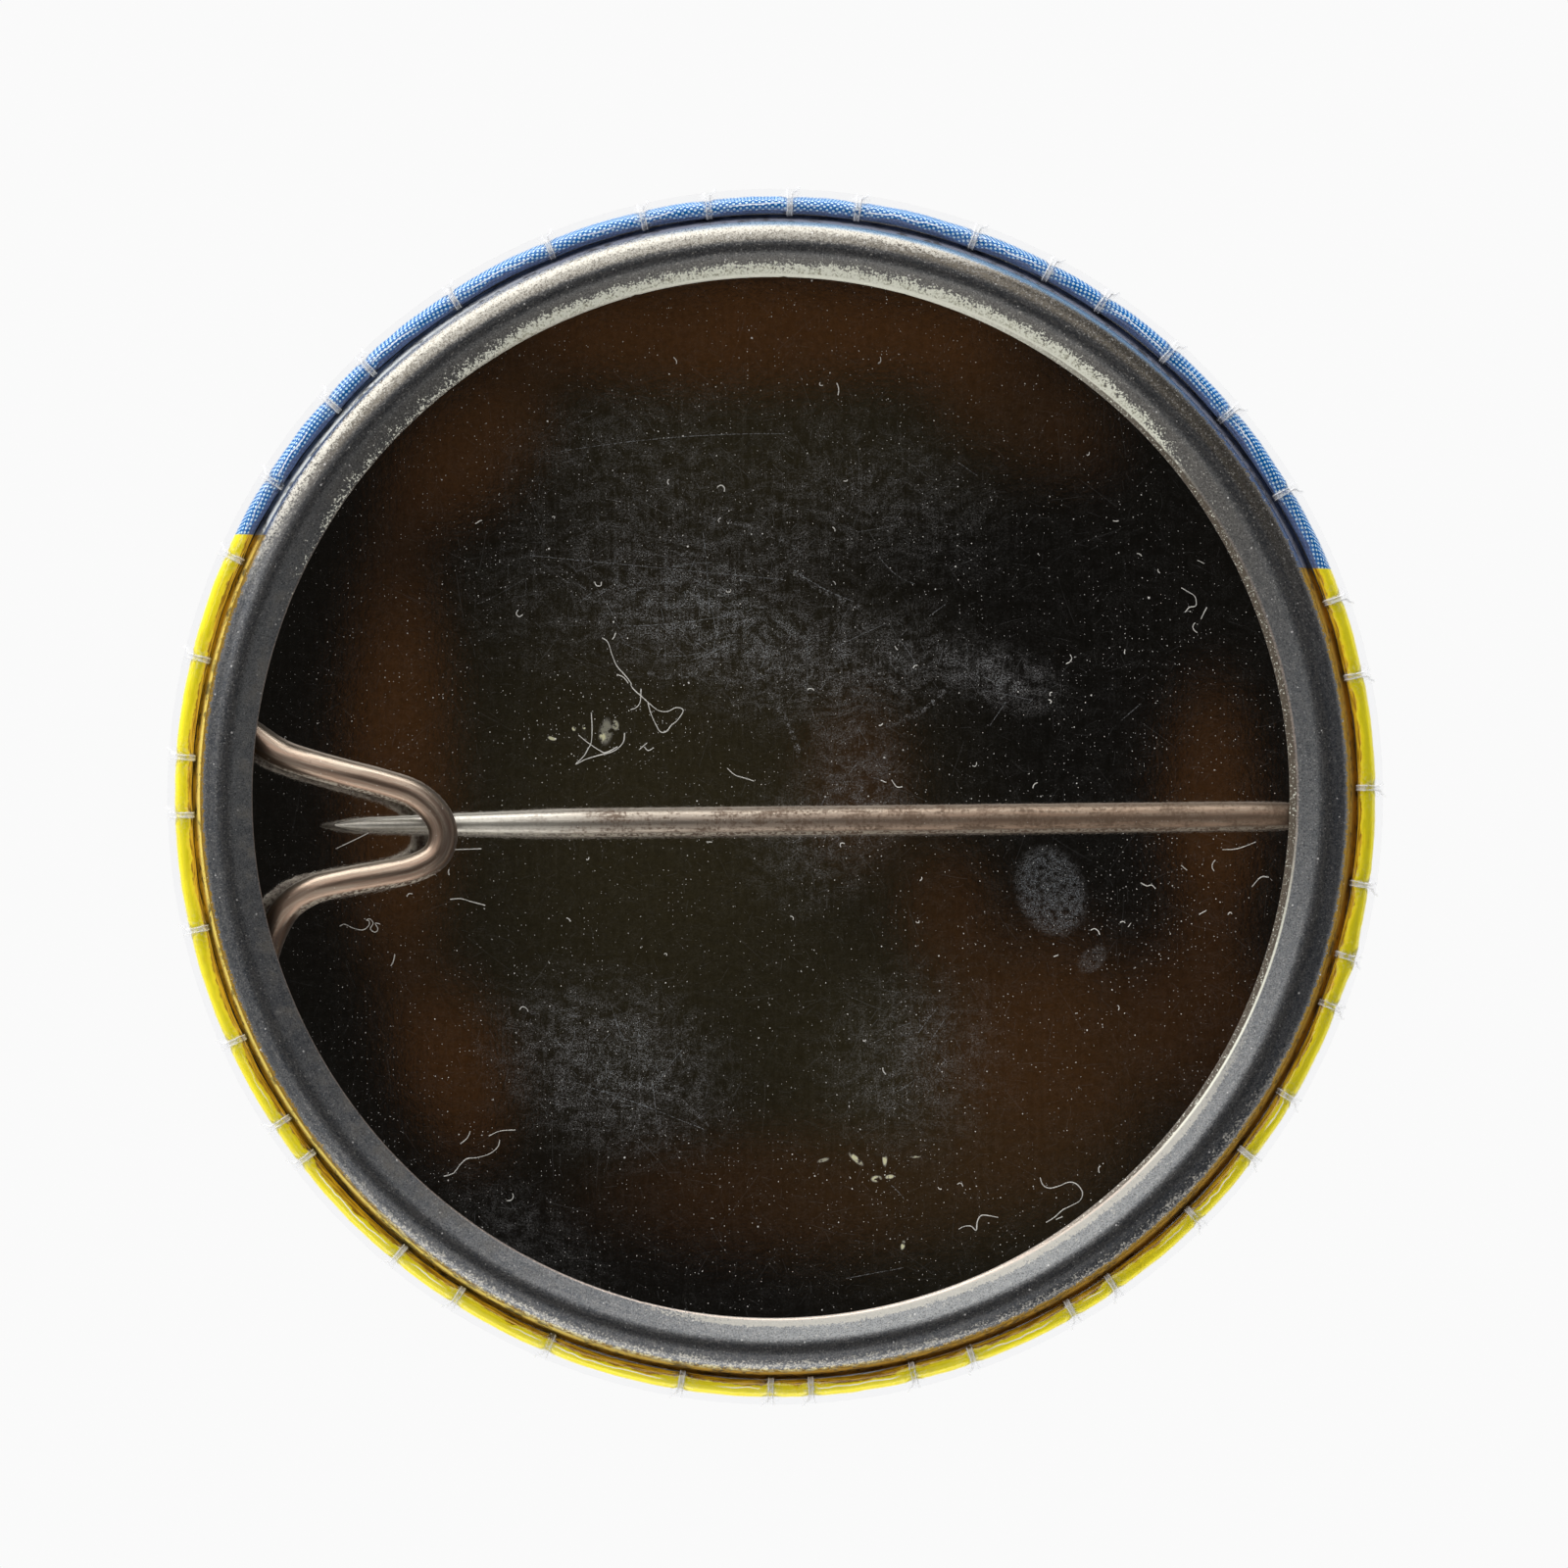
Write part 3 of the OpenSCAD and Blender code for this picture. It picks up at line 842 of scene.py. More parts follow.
def wornTinplate():
    finish, graph, place = newFinish("worn tinplate")
    x, y, radius = fromAxis(place)

    def sector(middle, half, soft):  # 1 within half of the middle's direction, softly to 0
        out, up = polar((0, 0), 1, middle)
        ends = [math.cos(math.radians(end)) for end in (half + soft, half - soft)]
        return ((x * out + y * up) / radius).smooth(*ends)

    fine, mid, coarse, grit = grains(place, collet["grains"])
    streaks = grain(joinParts(x / radius * 30, y / radius * 30, radius * 9), 1.0, 3, 0.7)
    small, large = [specks(place, *row) for row in collet["sparkles"]]
    sparkle = (small * 0.55).most(large)
    north = sector(85, 62, 14)
    blueSide = levelHeight(x, y) > paper["lineHeight"]
    flaky = fine * 0.7 + mid * 0.4

    rise = radius.smooth(17.0, 16.1) * sector(84, 42, 12).most(sector(136, 16, 14) * 0.5)
    crust = (rise * 0.5 + fine * 0.75 + mid * 0.3 + coarse * 0.3).smooth(0.9, 0.96)
    ragged = radius + fine * 0.3 + mid * 0.3 - 0.3
    band = ragged.smooth(17.42, 17.66) * radius.smooth(17.9, 17.74)
    # Pale corrosion laid where the bands face the lamps, north on the outer band and south on the inner, so
    # it is also a painted highlight
    bloomAndHighlight = band * sector(112, 40, 8) * (fine * 0.9 + mid * 0.35 + band * 0.12).smooth(0.62, 0.76)
    haze = ragged.smooth(17.22, 17.46) * radius.smooth(17.92, 17.86) * sector(106, 24, 10)
    low = radius.smooth(16.56, 16.4) * 0.28 + radius.smooth(17.0, 16.7) * 0.09
    south = (band * 0.2 + low * sector(296, 38, 12) + fine * 0.7 + mid * 0.35).smooth(0.7, 0.82)
    bloomAndHighlight = bloomAndHighlight.most(haze * (fine * 0.5 + grit * 0.5).smooth(0.3, 0.62) * 0.7)
    bloomAndHighlight = bloomAndHighlight.most(south * sector(276, 52, 12) * 0.8).most(flaky.smooth(0.66, 0.74) * north * 0.6)
    # Painted reflection of the blue print on the outer wall's north
    blueFringeReflection = radius.smooth(17.7, 17.84) * sector(72, 20, 14) * blueSide
    # outer: where the print's reflection is painted on the outer wall
    outer = ragged.smooth(17.76, 17.82)
    # gap: where the fold's reflected light and the pockets' shade are painted
    gap = radius.smooth(17.86, 17.92)
    olive = radius.smooth(17.1, 16.5) * sector(190, 45, 20) * coarse.smooth(0.42, 0.7)
    lip = radius.smooth(16.3, 16.26)
    bare = lip * (fine.smooth(0.35, 0.6) * 0.6 + 0.4) * (1 - north * 0.75)
    ledge = radius.smooth(16.23, 16.2) * sector(0, 60, 20)
    # crest: pale along the lip, pale corrosion in the north and a painted highlight in the south-east
    crest = lip * sector(76, 30, 14).most(sector(334, 16, 8)) * (1 - ledge)
    inner = radius.smooth(17.08, 16.84) * (mid * 0.8 + 0.3)
    inner = inner * (1 - sector(10, 50, 25) * 0.55) * (1 - sector(226, 34, 16) * 0.75)

    # Painted reflections of the print: low on the outer wall, and down in the gap
    goldReflection = mixed(sector(252, 26, 14) * mid.smooth(0.4, 0.6), collet["goldWallReflection"], collet["paleWallReflection"])
    goldDeep = mixed(sector(205, 44, 20), collet["goldGapReflection"], collet["westGapReflection"])
    blueDeep = mixed(sector(142, 16, 16) * 0.85, collet["blueGapReflection"], collet["paleGapReflection"])
    pocketShadeShare = (coarse * 0.6 + mid * 0.4).smooth(0.5, 0.6) * 0.8
    grubby = mixed((fine * 0.7 + grit * 0.4).smooth(0.61, 0.71), collet["ledge"], collet["crust"])
    colour = layered(
        mixed((streaks * 0.6 + mid * 0.4).smooth(0.35, 0.65), collet["metal"], collet["pale"]),
        (inner, collet["inner"]),
        (radius.smooth(17.05, 16.7) * north * 0.5, collet["brown"]),
        (radius.smooth(17.2, 17.4) * north * 0.9, collet["brown"]),
        (grit.smooth(0.55, 0.3) * 0.6, collet["pit"]),
        (fine.smooth(0.5, 0.7) * 0.5, collet["speck"]),
        (outer, mixed(blueSide, goldReflection, collet["blueWallReflection"])),
        (sparkle * 0.8, collet["sparkle"]),
        (olive * 0.5, collet["brown"]),
        (crust, mixed(flaky.smooth(0.42, 0.6), collet["stain"], collet["crust"])),
        (bloomAndHighlight * 0.85, collet["bloomAndHighlight"]),
        (blueFringeReflection * 0.85, collet["blueFringeReflection"]),
        (bare * 0.8, collet["edge"]),
        (ledge, grubby),
        (crest * 0.9, collet["crust"]),
        (gap, mixed(pocketShadeShare, mixed(blueSide, goldDeep, blueDeep), collet["pocketShade"])),
    )
    dull = (crust * 0.9).most(bloomAndHighlight * 0.75).most(sparkle * 0.4).most(olive * 0.3).most(ledge)
    rough = fine * 0.16 + dull * 0.3 * (1 - bare) - outer * 0.08 + gap * 0.7
    sockets = {
        "Base Color": colour,
        "Metallic": (0.9 - dull * 0.82 * (1 - bare * (1 - ledge) * 0.8)) * (1 - gap),
        "Roughness": rough + collet["roughness"],
        "Normal": raised(fine * 0.4 + mid * 0.4 + crust * 0.4, 0.008),
    }
    return shown(finish, graph.coat(sockets))


def makeCollet():
    piece = turned("collet", colletRows(), collet["steps"], loop=True, shape=colletShape)
    return dressed(piece, wornTinplate(), "badge", "worn_tinplate", "collet_ring")


# Geometry Nodes: a tree with named inputs, and its result kept as a plain mesh
def newTree(name, inputs):
    tree = bpy.data.node_groups.new(name, "GeometryNodeTree")
    tree.interface.new_socket("Geometry", in_out="INPUT", socket_type="NodeSocketGeometry")
    for label, kind in inputs.items():
        tree.interface.new_socket(label, in_out="INPUT", socket_type="NodeSocket" + kind)
    tree.interface.new_socket("Geometry", in_out="OUTPUT", socket_type="NodeSocketGeometry")
    graph = Graph(tree)
    return graph, graph.add("NodeGroupInput")


def closeTree(geometry, material):
    graph = geometry.graph
    real = graph.add("GeometryNodeRealizeInstances", {}, {0: geometry})
    painted = graph.add("GeometryNodeSetMaterial", {}, {0: real, "Material": material})
    graph.add("NodeGroupOutput", {}, {0: painted})
    return graph.tree


def named(graph, name, kind="FLOAT"):
    return graph.add("GeometryNodeInputNamedAttribute", {"data_type": kind}, {"Name": name})


def stored(geometry, name, value, kind="FLOAT"):
    settings = {"data_type": kind, "domain": "POINT"}
    sockets = {0: geometry, "Name": name, "Value": value}
    return geometry.graph.add("GeometryNodeStoreNamedAttribute", settings, sockets)


def grown(name, base, tree, values):
    holder = inScene(name + "_base", base)
    modifier = holder.modifiers.new("tree", "NODES")
    modifier.node_group = tree
    for label, value in values.items():
        modifier[tree.interface.items_tree[label].identifier] = value
    depsgraph = bpy.context.evaluated_depsgraph_get()
    mesh = bpy.data.meshes.new_from_object(
        holder.evaluated_get(depsgraph), preserve_all_data_layers=True, depsgraph=depsgraph
    )
    bpy.data.objects.remove(holder)
    mesh.name = name
    return placed(name, mesh)


def drawnWireTree():
    graph, start = newTree("drawn wire", {"Sides": "Int", "Finish": "Material"})
    line = graph.add("GeometryNodeMeshToCurve", {}, {0: start})
    line = stored(line, "along", graph.add("GeometryNodeSplineParameter", out="Length"))
    sides = {"Resolution": start.other("Sides"), "Radius": 1.0}
    ring = graph.add("GeometryNodeCurvePrimitiveCircle", {}, sides)
    ring = stored(ring, "around", graph.add("GeometryNodeInputPosition"), "FLOAT_VECTOR")
    sockets = {0: line, 1: ring, "Scale": named(graph, "girth"), "Fill Caps": True}
    swept = graph.add("GeometryNodeCurveToMesh", {}, sockets)
    return closeTree(swept, start.other("Finish"))


# Draws wire along runs of (x, y, z, girth) in millimetres
def drawn(name, runs, tree, sides, finish):
    points = [point for run in runs for point in run]
    edges = []
    first = 0
    for run in runs:
        edges += [(first + i, first + i + 1) for i in range(len(run) - 1)]
        first += len(run)
    mesh = bpy.data.meshes.new(name + " lines")
    mesh.from_pydata([(x * mm, y * mm, z * mm) for x, y, z, _ in points], edges, [])
    marked(mesh, "girth", [point[3] * mm for point in points])
    return grown(name, mesh, tree, {"Sides": sides, "Finish": finish})


# Spring wire: it lies in the collet, and comes out at the left as the catch loop
wire = {
    "radius": 0.45,
    "height": 3.6,
    "grooveRadius": 17.2,
    "pinY": -0.75,
    "bendRadius": 0.8,
    "grooveTo": 168,
    "endFrom": 200,
    "endTo": 214,
    "grooveStep": 3,
    "bendStep": 15,
    "catchSteps": 9,
    "sides": 22,
    "copper": (0.29, 0.2, 0.148),
    "pale": (0.44, 0.385, 0.31),
    "silver": (0.4, 0.375, 0.325),
    "point": (0.6, 0.58, 0.52),
    "root": (0.17, 0.115, 0.075),
    "dark": (0.1, 0.057, 0.034),
    "crust": (0.66, 0.6, 0.49),
    "dust": (0.72, 0.68, 0.6),
    "dustSpecks": (0.2, 0.03, 0.35, 1.9),
    "grains": [(1.3, 4, 0.62), (10.0, 2, 0.6)],
    "silverFrom": (500, 501),  # past the wire's end, so that it stays coppery
    "pointFrom": 6,  # how far before the last of the copper the point's shine begins
    "pointTo": 2,
    "tarnish": 0.2,
    "roughness": 0.24,
}
# Points that the wire passes at the catch: x, y, and height above the groove
catchPoints = [
    (-16.95, 2.7, 0), (-16.14, 2, 0.02), (-15.32, 1.48, 0.25), (-14.31, 1.13, 0.68),
    (-13.3, 0.84, 0.88), (-12.3, 0.57, 0.92), (-11.25, 0.2, 0.92), (-10.58, -0.38, 0.92),
    (-10.34, -1.05, 0.92), (-10.58, -1.72, 0.92), (-11.31, -2.12, 0.92), (-12.32, -2.32, 0.92),
    (-13.34, -2.49, 0.88), (-14.35, -2.73, 0.72), (-15.12, -3.19, 0.36), (-15.6, -3.85, 0.1),
    (-15.95, -4.75, 0),
]


def between(p0, p1, p2, p3, t):  # a smooth curve from p1 to p2
    blend = [
        2 * b + (c - a) * t + (2 * a - 5 * b + 4 * c - d) * t * t + (3 * b - a - 3 * c + d) * t**3
        for a, b, c, d in zip(p0, p1, p2, p3)
    ]
    return tuple(value / 2 for value in blend)


def smoothPath(posts, steps):  # from the second post up to the last but one
    spans = [posts[i - 1 : i + 3] for i in range(1, len(posts) - 2)]
    return [between(*span, k / steps) for span in spans for k in range(steps)]


def grooveArc(start, end):
    steps = math.ceil((end - start) / wire["grooveStep"])
    turns = [start + (end - start) * i / steps for i in range(steps + 1)]
    return [(*polar((0, 0), wire["grooveRadius"], turn), 0) for turn in turns]


def wireRoute():
    bendMid = (wire["grooveRadius"] - wire["bendRadius"], wire["pinY"] + wire["bendRadius"])
    grooveFrom = math.degrees(math.asin(bendMid[1] / wire["grooveRadius"]))
    turns = range(-90, 0, wire["bendStep"])
    bend = [(*polar(bendMid, wire["bendRadius"], turn), 0) for turn in turns]
    upper = grooveArc(grooveFrom, wire["grooveTo"])
    end = grooveArc(wire["endFrom"], wire["endTo"])
    catch = smoothPath(upper[-2:] + catchPoints + end[:2], wire["catchSteps"])
    route = bend + upper[:-1] + catch + end
    return [(x, y, wire["height"] + up, wire["radius"]) for x, y, up in route]


# silver: places along the wire where copper gives way to silver; tarnish: share of the dark oxide
def wireFinish(name, silver, tarnish):
    finish, graph, place = newFinish(name)
    along = graph.mark("along") * (1 / mm)
    side, up, _ = partsOf(graph.mark("around", "Vector"))
    streaks = grain(joinParts(along * 0.12, side, up), 5.5, 3, 0.65)
    blots, fine = grains(place, wire["grains"])
    _, south, top = partsOf(graph.add("ShaderNodeTexCoord", out="Normal"))
    grime = blots * 0.5 + streaks * 0.35 + fine * 0.45
    point = along.smooth(silver[1] - wire["pointFrom"], silver[1] - wire["pointTo"])
    dark = grime.smooth(0.8 - 0.3 * tarnish, 0.98 - 0.3 * tarnish) * (1 - point * 0.75)
    # Paler along streaks, and paler on the side that faces north towards the lamps: a painted highlight
    pale = streaks.smooth(0.4, 0.7) * 0.5 + south.smooth(0.2, 0.75) * 0.5
    silvery = along.smooth(*silver)
    under = top.smooth(0.3, -0.1).most(south.smooth(-0.66, -0.86)) * (1 - point * 0.4)
    flecks = (fine * 0.7 + blots * 0.3).smooth(0.44, 0.54)
    dusty = specks(place, *wire["dustSpecks"]) * fine.smooth(0.4, 0.6)
    root = (1 - silvery) * max(tarnish - 0.2, 0)
    colour = layered(
        mixed(pale, wire["copper"], wire["pale"]),
        (silvery * 0.85, wire["silver"]),
        (point * 0.7, wire["point"]),
        (dark * 0.8, wire["dark"]),
        (under * 0.85, mixed(flecks, wire["dark"], wire["crust"])),
        (dusty * 0.6, wire["dust"]),
        (root, wire["root"]),
    )
    rough = streaks * 0.14 + dark * 0.14 + under * 0.3 + root * 0.2
    sockets = {
        "Base Color": colour,
        "Metallic": 0.94 - (dark * 0.3).most(dusty * 0.6).most(under * 0.7),
        "Roughness": rough + wire["roughness"] + 0.1 * tarnish,
        "Normal": raised(streaks * 0.5 + fine * 0.3 + under * flecks * 0.6, 0.01),
    }
    return shown(finish, graph.coat(sockets))


def makeWire(tree):
    finish = wireFinish("tarnished wire", wire["silverFrom"], wire["tarnish"])
    piece = drawn("spring_wire_drawn", [wireRoute()], tree, wire["sides"], finish)
    return dressed(piece, finish, "badge", "tarnished_wire", "spring_wire")


# Pin: the straight end of the wire, thinner at its root and tapering to its point
pin = {
    "rootX": 15.9,
    "rootRadius": 0.4,
    "rootLength": 1.2,
    "straight": 22.4,
    "taper": 6.4,
    "taperRadius": 0.23,
    "length": 29.65,
    "pointRadius": 0.04,
    "step": 0.5,
    "rootTurns": range(10, 90, 16),
    "tipTurns": (60, 30, 10),
    "silverFrom": (6, 27),  # where copper gives way to silver along the pin
    "tarnish": 0.7,
}


def pinGirth(way):
    if way < pin["rootLength"]:
        share = way / pin["rootLength"]
        return pin["rootRadius"] + (wire["radius"] - pin["rootRadius"]) * share
    if way < pin["straight"]:
        return wire["radius"]
    if way < pin["straight"] + pin["taper"]:
        share = (way - pin["straight"]) / pin["taper"]
        return wire["radius"] + (pin["taperRadius"] - wire["radius"]) * share
    tip = pin["length"] - pin["pointRadius"]
    share = (way - pin["straight"] - pin["taper"]) / (tip - pin["straight"] - pin["taper"])
    return pin["taperRadius"] + (pin["pointRadius"] - pin["taperRadius"]) * min(share, 1)


def pinRun():
    tip = pin["length"] - pin["pointRadius"]
    root = [polar((0, 0), pin["rootRadius"], turn) for turn in pin["rootTurns"]]
    rows = [(-x, y) for x, y in root]
    steps = round(tip / pin["step"])
    rows += [(tip * i / steps, pinGirth(tip * i / steps)) for i in range(steps + 1)]
    rows += [polar((tip, 0), pin["pointRadius"], turn) for turn in pin["tipTurns"]]
    return [(pin["rootX"] - way, wire["pinY"], wire["height"], girth) for way, girth in rows]


def makePin(tree):
    finish = wireFinish("pin wire", pin["silverFrom"], pin["tarnish"])
    piece = drawn("pin", [pinRun()], tree, wire["sides"], finish)
    return dressed(piece, finish, "pin", "pin_wire", "pin_arm")


# Dust fibres on the shell: the charted ones, and others that are scattered
lint = {
    "halfWidth": 0.014,
    "uneven": 0.6,
    "sides": 6,
    "curve": 4,
    "scattered": 60,
    "seed": 7,
    "reach": 15.6,
    "bend": 70,
    "wander": 25,
    "steps": (0.05, 0.06, 0.08, 0.13),
    "grey": (0.8, 0.78, 0.72),
    "white": (0.98, 0.97, 0.93),
}
# Runs of x, y, x, y in hundredths of a millimetre
lintChart = [
    [-539, 504, -521, 491, -509, 454, -494, 417, -473, 392, -451, 364, -445, 346, -409, 312, -385,
     290, -363, 274, -336, 271, -308, 283, -286, 274, -305, 243, -324, 228, -339, 209, -358, 207,
     -373, 231, -388, 265, -397, 299],
    [-494, 389, -473, 380, -458, 361],
    [-452, 278, -434, 284, -421, 303, -418, 343],
    [-575, 270, -573, 224, -576, 178, -586, 157, -601, 132, -626, 108, -595, 123, -555, 135, -518,
     144, -494, 156, -475, 177, -471, 205],
    [-616, 200, -586, 175, -549, 150, -531, 144, -493, 162],
    [-426, 152, -401, 173],
    [-410, 161, -398, 149, -380, 158],
    [-150, 91, -125, 69, -95, 59, -67, 50],
    [-1051, -1179, -1021, -1170, -999, -1143, -977, -1125, -946, -1122, -906, -1110, -881, -1089,
     -875, -1067],
    [-909, -1055, -875, -1040, -826, -1037],
    [-998, -1078, -976, -1060, -967, -1039],
    [561, -1362, 580, -1353, 601, -1353, 616, -1366, 620, -1338, 632, -1320, 654, -1320, 685,
     -1326],
    [818, -1202, 827, -1226, 848, -1236, 876, -1230, 907, -1218, 932, -1224, 950, -1249, 943,
     -1274, 919, -1289, 888, -1304, 860, -1328, 835, -1343],
    [866, -1334, 887, -1325],
    [1280, 642, 1301, 629, 1322, 614, 1325, 586, 1304, 580, 1291, 565],
    [1340, 543, 1359, 580],
    [-1369, -392, -1354, -386, -1329, -398, -1299, -405, -1280, -393, -1277, -378, -1286, -374,
     -1274, -371, -1265, -384, -1274, -402, -1259, -412, -1250, -402, -1259, -384, -1243, -387],
    [-1024, -312, -990, -310, -960, -319, -914, -332],
    [-1159, -302, -1153, -293, -1141, -293],
    [1144, -282, 1163, -292, 1178, -289, 1190, -301],
    [1325, -383, 1349, -370],
    [1271, -228, 1289, -244],
    [1103, -420, 1112, -408],
    [1400, -180, 1447, -178, 1505, -157],
    [1491, -298, 1519, -268, 1544, -268],
    [-1010, -156, -924, -154],
    [-1379, -149, -1327, -125, -1277, -101],
    [366, 49, 382, 27, 400, 27],
]


def scatteredLint():
    chance = random.Random(lint["seed"])
    runs = []
    for _ in range(lint["scattered"]):
        turn = chance.uniform(0, 360)
        run = [polar((0, 0), lint["reach"] * math.sqrt(chance.random()), chance.uniform(0, 360))]
        bend = chance.uniform(-lint["bend"], lint["bend"])
        step = chance.choice(lint["steps"])
        for _ in range(3):
            turn += bend + chance.uniform(-lint["wander"], lint["wander"])
            run.append(polar(run[-1], step, turn))
        runs.append(run)
    return runs


def chartedLint():
    return [[(x / 100, y / 100) for x, y in zip(run[::2], run[1::2])] for run in lintChart]


def dustFibre():
    finish, graph, place = newFinish("dust fibre")
    tone = grain(place, 2.5, 2, 0.6)
    sockets = {
        "Base Color": mixed(tone, lint["grey"], lint["white"]),
        "Roughness": tone * 0.3 + 0.4,
        "Normal": raised(tone, 0.004),
    }
    return shown(finish, graph.coat(sockets))


def makeLint(tree):
    inside = badge["domeRadius"] - skin - badge["sheet"]
    runs = []
    for run in chartedLint() + scatteredLint():
        line = []
        for x, y in [*smoothPath([run[0], *run, run[-1]], lint["curve"]), run[-1]]:
            height = badge["domeRadius"] - math.sqrt(inside**2 - x * x - y * y)
            uneven = lint["uneven"] * noise.noise(Vector((x * 2, y * 2, 1)))
            girth = lint["halfWidth"] * (1 + uneven)
            line.append((x, y, height + girth, girth))
        runs.append(line)
    finish = dustFibre()
    piece = drawn("lint", runs, tree, lint["sides"], finish)
    return dressed(piece, finish, "badge", "bright_tinplate")


# Pleats of the film: four pinched forms, set round the rim by their turn
pleat = {
    "footFrom": 0.25,
    "reach": 160,
    "sideSteps": 6,
    "foldSteps": 16,
    "acrossSteps": 14,
    "tight": 0.26,  # width on the fold
    "loose": 0.6,  # how much wider it is at its foot
    "tightens": (0.05, 0.5),  # shares of the way from the foot to the inner end
    "rises": (0, 0.16),
    "sinks": (0.2, 0.62),
    "ends": (0.86, 1),
    "sunk": 0.82,
    "ridgeAt": 0.5,  # across it, as a share of half its width
    "ridgeWidth": 0.2,
    "wobble": 0.35,
    "waver": 0.4,
    "sway": 0.025,
    "forms": [(0.26, -0.5, 1), (0.34, 0.6, 2), (0.42, -0.45, 3), (0.5, 0.65, 4)],  # height, lean, seed
    "white": (0.93, 0.93, 0.93),
    # white: the pleat's film; blue: a greyer colour painted as shade on each pleat's loose outer part
    "blue": (0.8, 0.81, 0.84),
    "ior": 1.6,
    "grains": [(8.0, 3, 0.65), (3.0, 3, 0.65)],
    "thickness": 0.02,
}


def pleatSpine():
    length = math.dist(sideFoot, sideTop)
    spine = []
    for i in range(pleat["sideSteps"]):
        up = pleat["footFrom"] + (length - pleat["footFrom"]) * i / pleat["sideSteps"]
        spine.append((*polar(sideFoot, up, sideAngle + 90), sideAngle))
    turns = (sideAngle, sideAngle + pleat["reach"], pleat["foldSteps"])
    return spine + arcRows(foldMid, foldRadius, *turns)


def pleatForm(index, height, lean, seed):
    spine = pleatSpine()
    width = pleat["acrossSteps"] + 1
    shares = [2 * k / pleat["acrossSteps"] - 1 for k in range(width)]
    vertices = []
    ways = []
    for under in (0, 1):
        for i, (r, z, turn) in enumerate(spine):
            way = i / (len(spine) - 1)
            loose = 1 - eased(way, *pleat["tightens"])
            sunk = pleat["sunk"] * eased(way, *pleat["sinks"])
            rise = height * eased(way, *pleat["rises"]) * (1 - sunk)
            rise *= 1 - eased(way, *pleat["ends"])
            half = pleat["tight"] / 2 + pleat["loose"] / 2 * loose
            for share in shares:
                ridges = math.exp(-(((abs(share) - pleat["ridgeAt"]) / pleat["ridgeWidth"]) ** 2))
                crest = (1 - share**4) * (0.55 + 0.45 * ridges)
                wobble = noise.noise(Vector((share * 2.6, way * 9, seed * 5)))
                slow = noise.noise(Vector((share * 0.6, way * 4, seed * 9)))
                uneven = 1 + pleat["wobble"] * wobble + pleat["waver"] * slow
                out = rise * crest * uneven - pleat["thickness"] * (under + 0.4)
                sway = pleat["sway"] * (wobble + slow) * crest
                aside = share * half + lean * rise * crest * loose + sway
                x, up = polar((r, z), out, turn)
                vertices.append((x * mm, aside * mm, up * mm))
                ways.append(way)
    sheet = len(vertices) // 2
    faces = []
    for row in range(0, sheet - width, width):
        for a in range(row, row + width - 1):
            b = sheet + a
            faces.append((a, a + 1, a + 1 + width, a + width))
            faces.append((b, b + width, b + 1 + width, b + 1))
    border = list(range(width))
    border += range(2 * width - 1, sheet, width)
    border += range(sheet - 2, sheet - width - 1, -1)
    border += range(sheet - 2 * width, 0, -width)
    for a, b in zip(border, border[1:] + border[:1]):
        faces.append((b, a, sheet + a, sheet + b))
    mesh = bpy.data.meshes.new(f"pleat {index}")
    mesh.from_pydata(vertices, [], faces)
    marked(mesh, "across", [abs(share) for share in shares] * (2 * len(spine)))
    marked(mesh, "way", ways)
    return bpy.data.objects.new(f"pleat {index}", mesh)


def pleatsTree():
    inputs = {"Forms": "Collection", "Width": "Float", "Finish": "Material"}
    graph, start = newTree("pleats round the rim", inputs)
    forms = {0: start.other("Forms"), "Separate Children": True, "Reset Children": True}
    sockets = {
        "Points": start,
        "Instance": graph.add("GeometryNodeCollectionInfo", {}, forms),
        "Pick Instance": True,
        "Instance Index": named(graph, "form", "INT"),
        "Rotation": graph.add("ShaderNodeCombineXYZ", {}, {2: named(graph, "turn")}),
        "Scale": graph.add("ShaderNodeCombineXYZ", {}, {0: 1.0, 1: start.other("Width"), 2: 1.0}),
    }
    return closeTree(graph.add("GeometryNodeInstanceOnPoints", {}, sockets), start.other("Finish"))


def pinchedFilm():
    finish, graph, place = newFinish("pinched film")
    across, way = graph.mark("across"), graph.mark("way")
    frost, patchy = grains(place, pleat["grains"])
    line = across.smooth(0.36, 0.5) * across.smooth(0.66, 0.52)
    loose = way.smooth(0.5, 0.2)
    inner = 1 - loose
    sockets = {
        # Painted shade: the loose outer part is greyer
        "Base Color": mixed((loose * 0.8 + frost * 0.4).least(1), pleat["white"], pleat["blue"]),
        "Roughness": frost * 0.2 + 0.12,
        "IOR": pleat["ior"],
        "Normal": raised(frost, 0.02),
    }
    share = line * patchy.smooth(0.3, 0.5) * (inner * 0.3 + 0.35) + frost.smooth(0.45, 0.65) * 0.1
    share = share + across.smooth(0.95, 0.3) * inner * patchy.smooth(0.35, 0.6) * 0.35
    share = share * way.smooth(1.0, 0.85) * way.smooth(0.1, 0.22) * across.smooth(1.0, 0.85)
    clear = graph.add("ShaderNodeBsdfTransparent")
    return shown(finish, graph.blend(share, clear, graph.coat(sockets)))


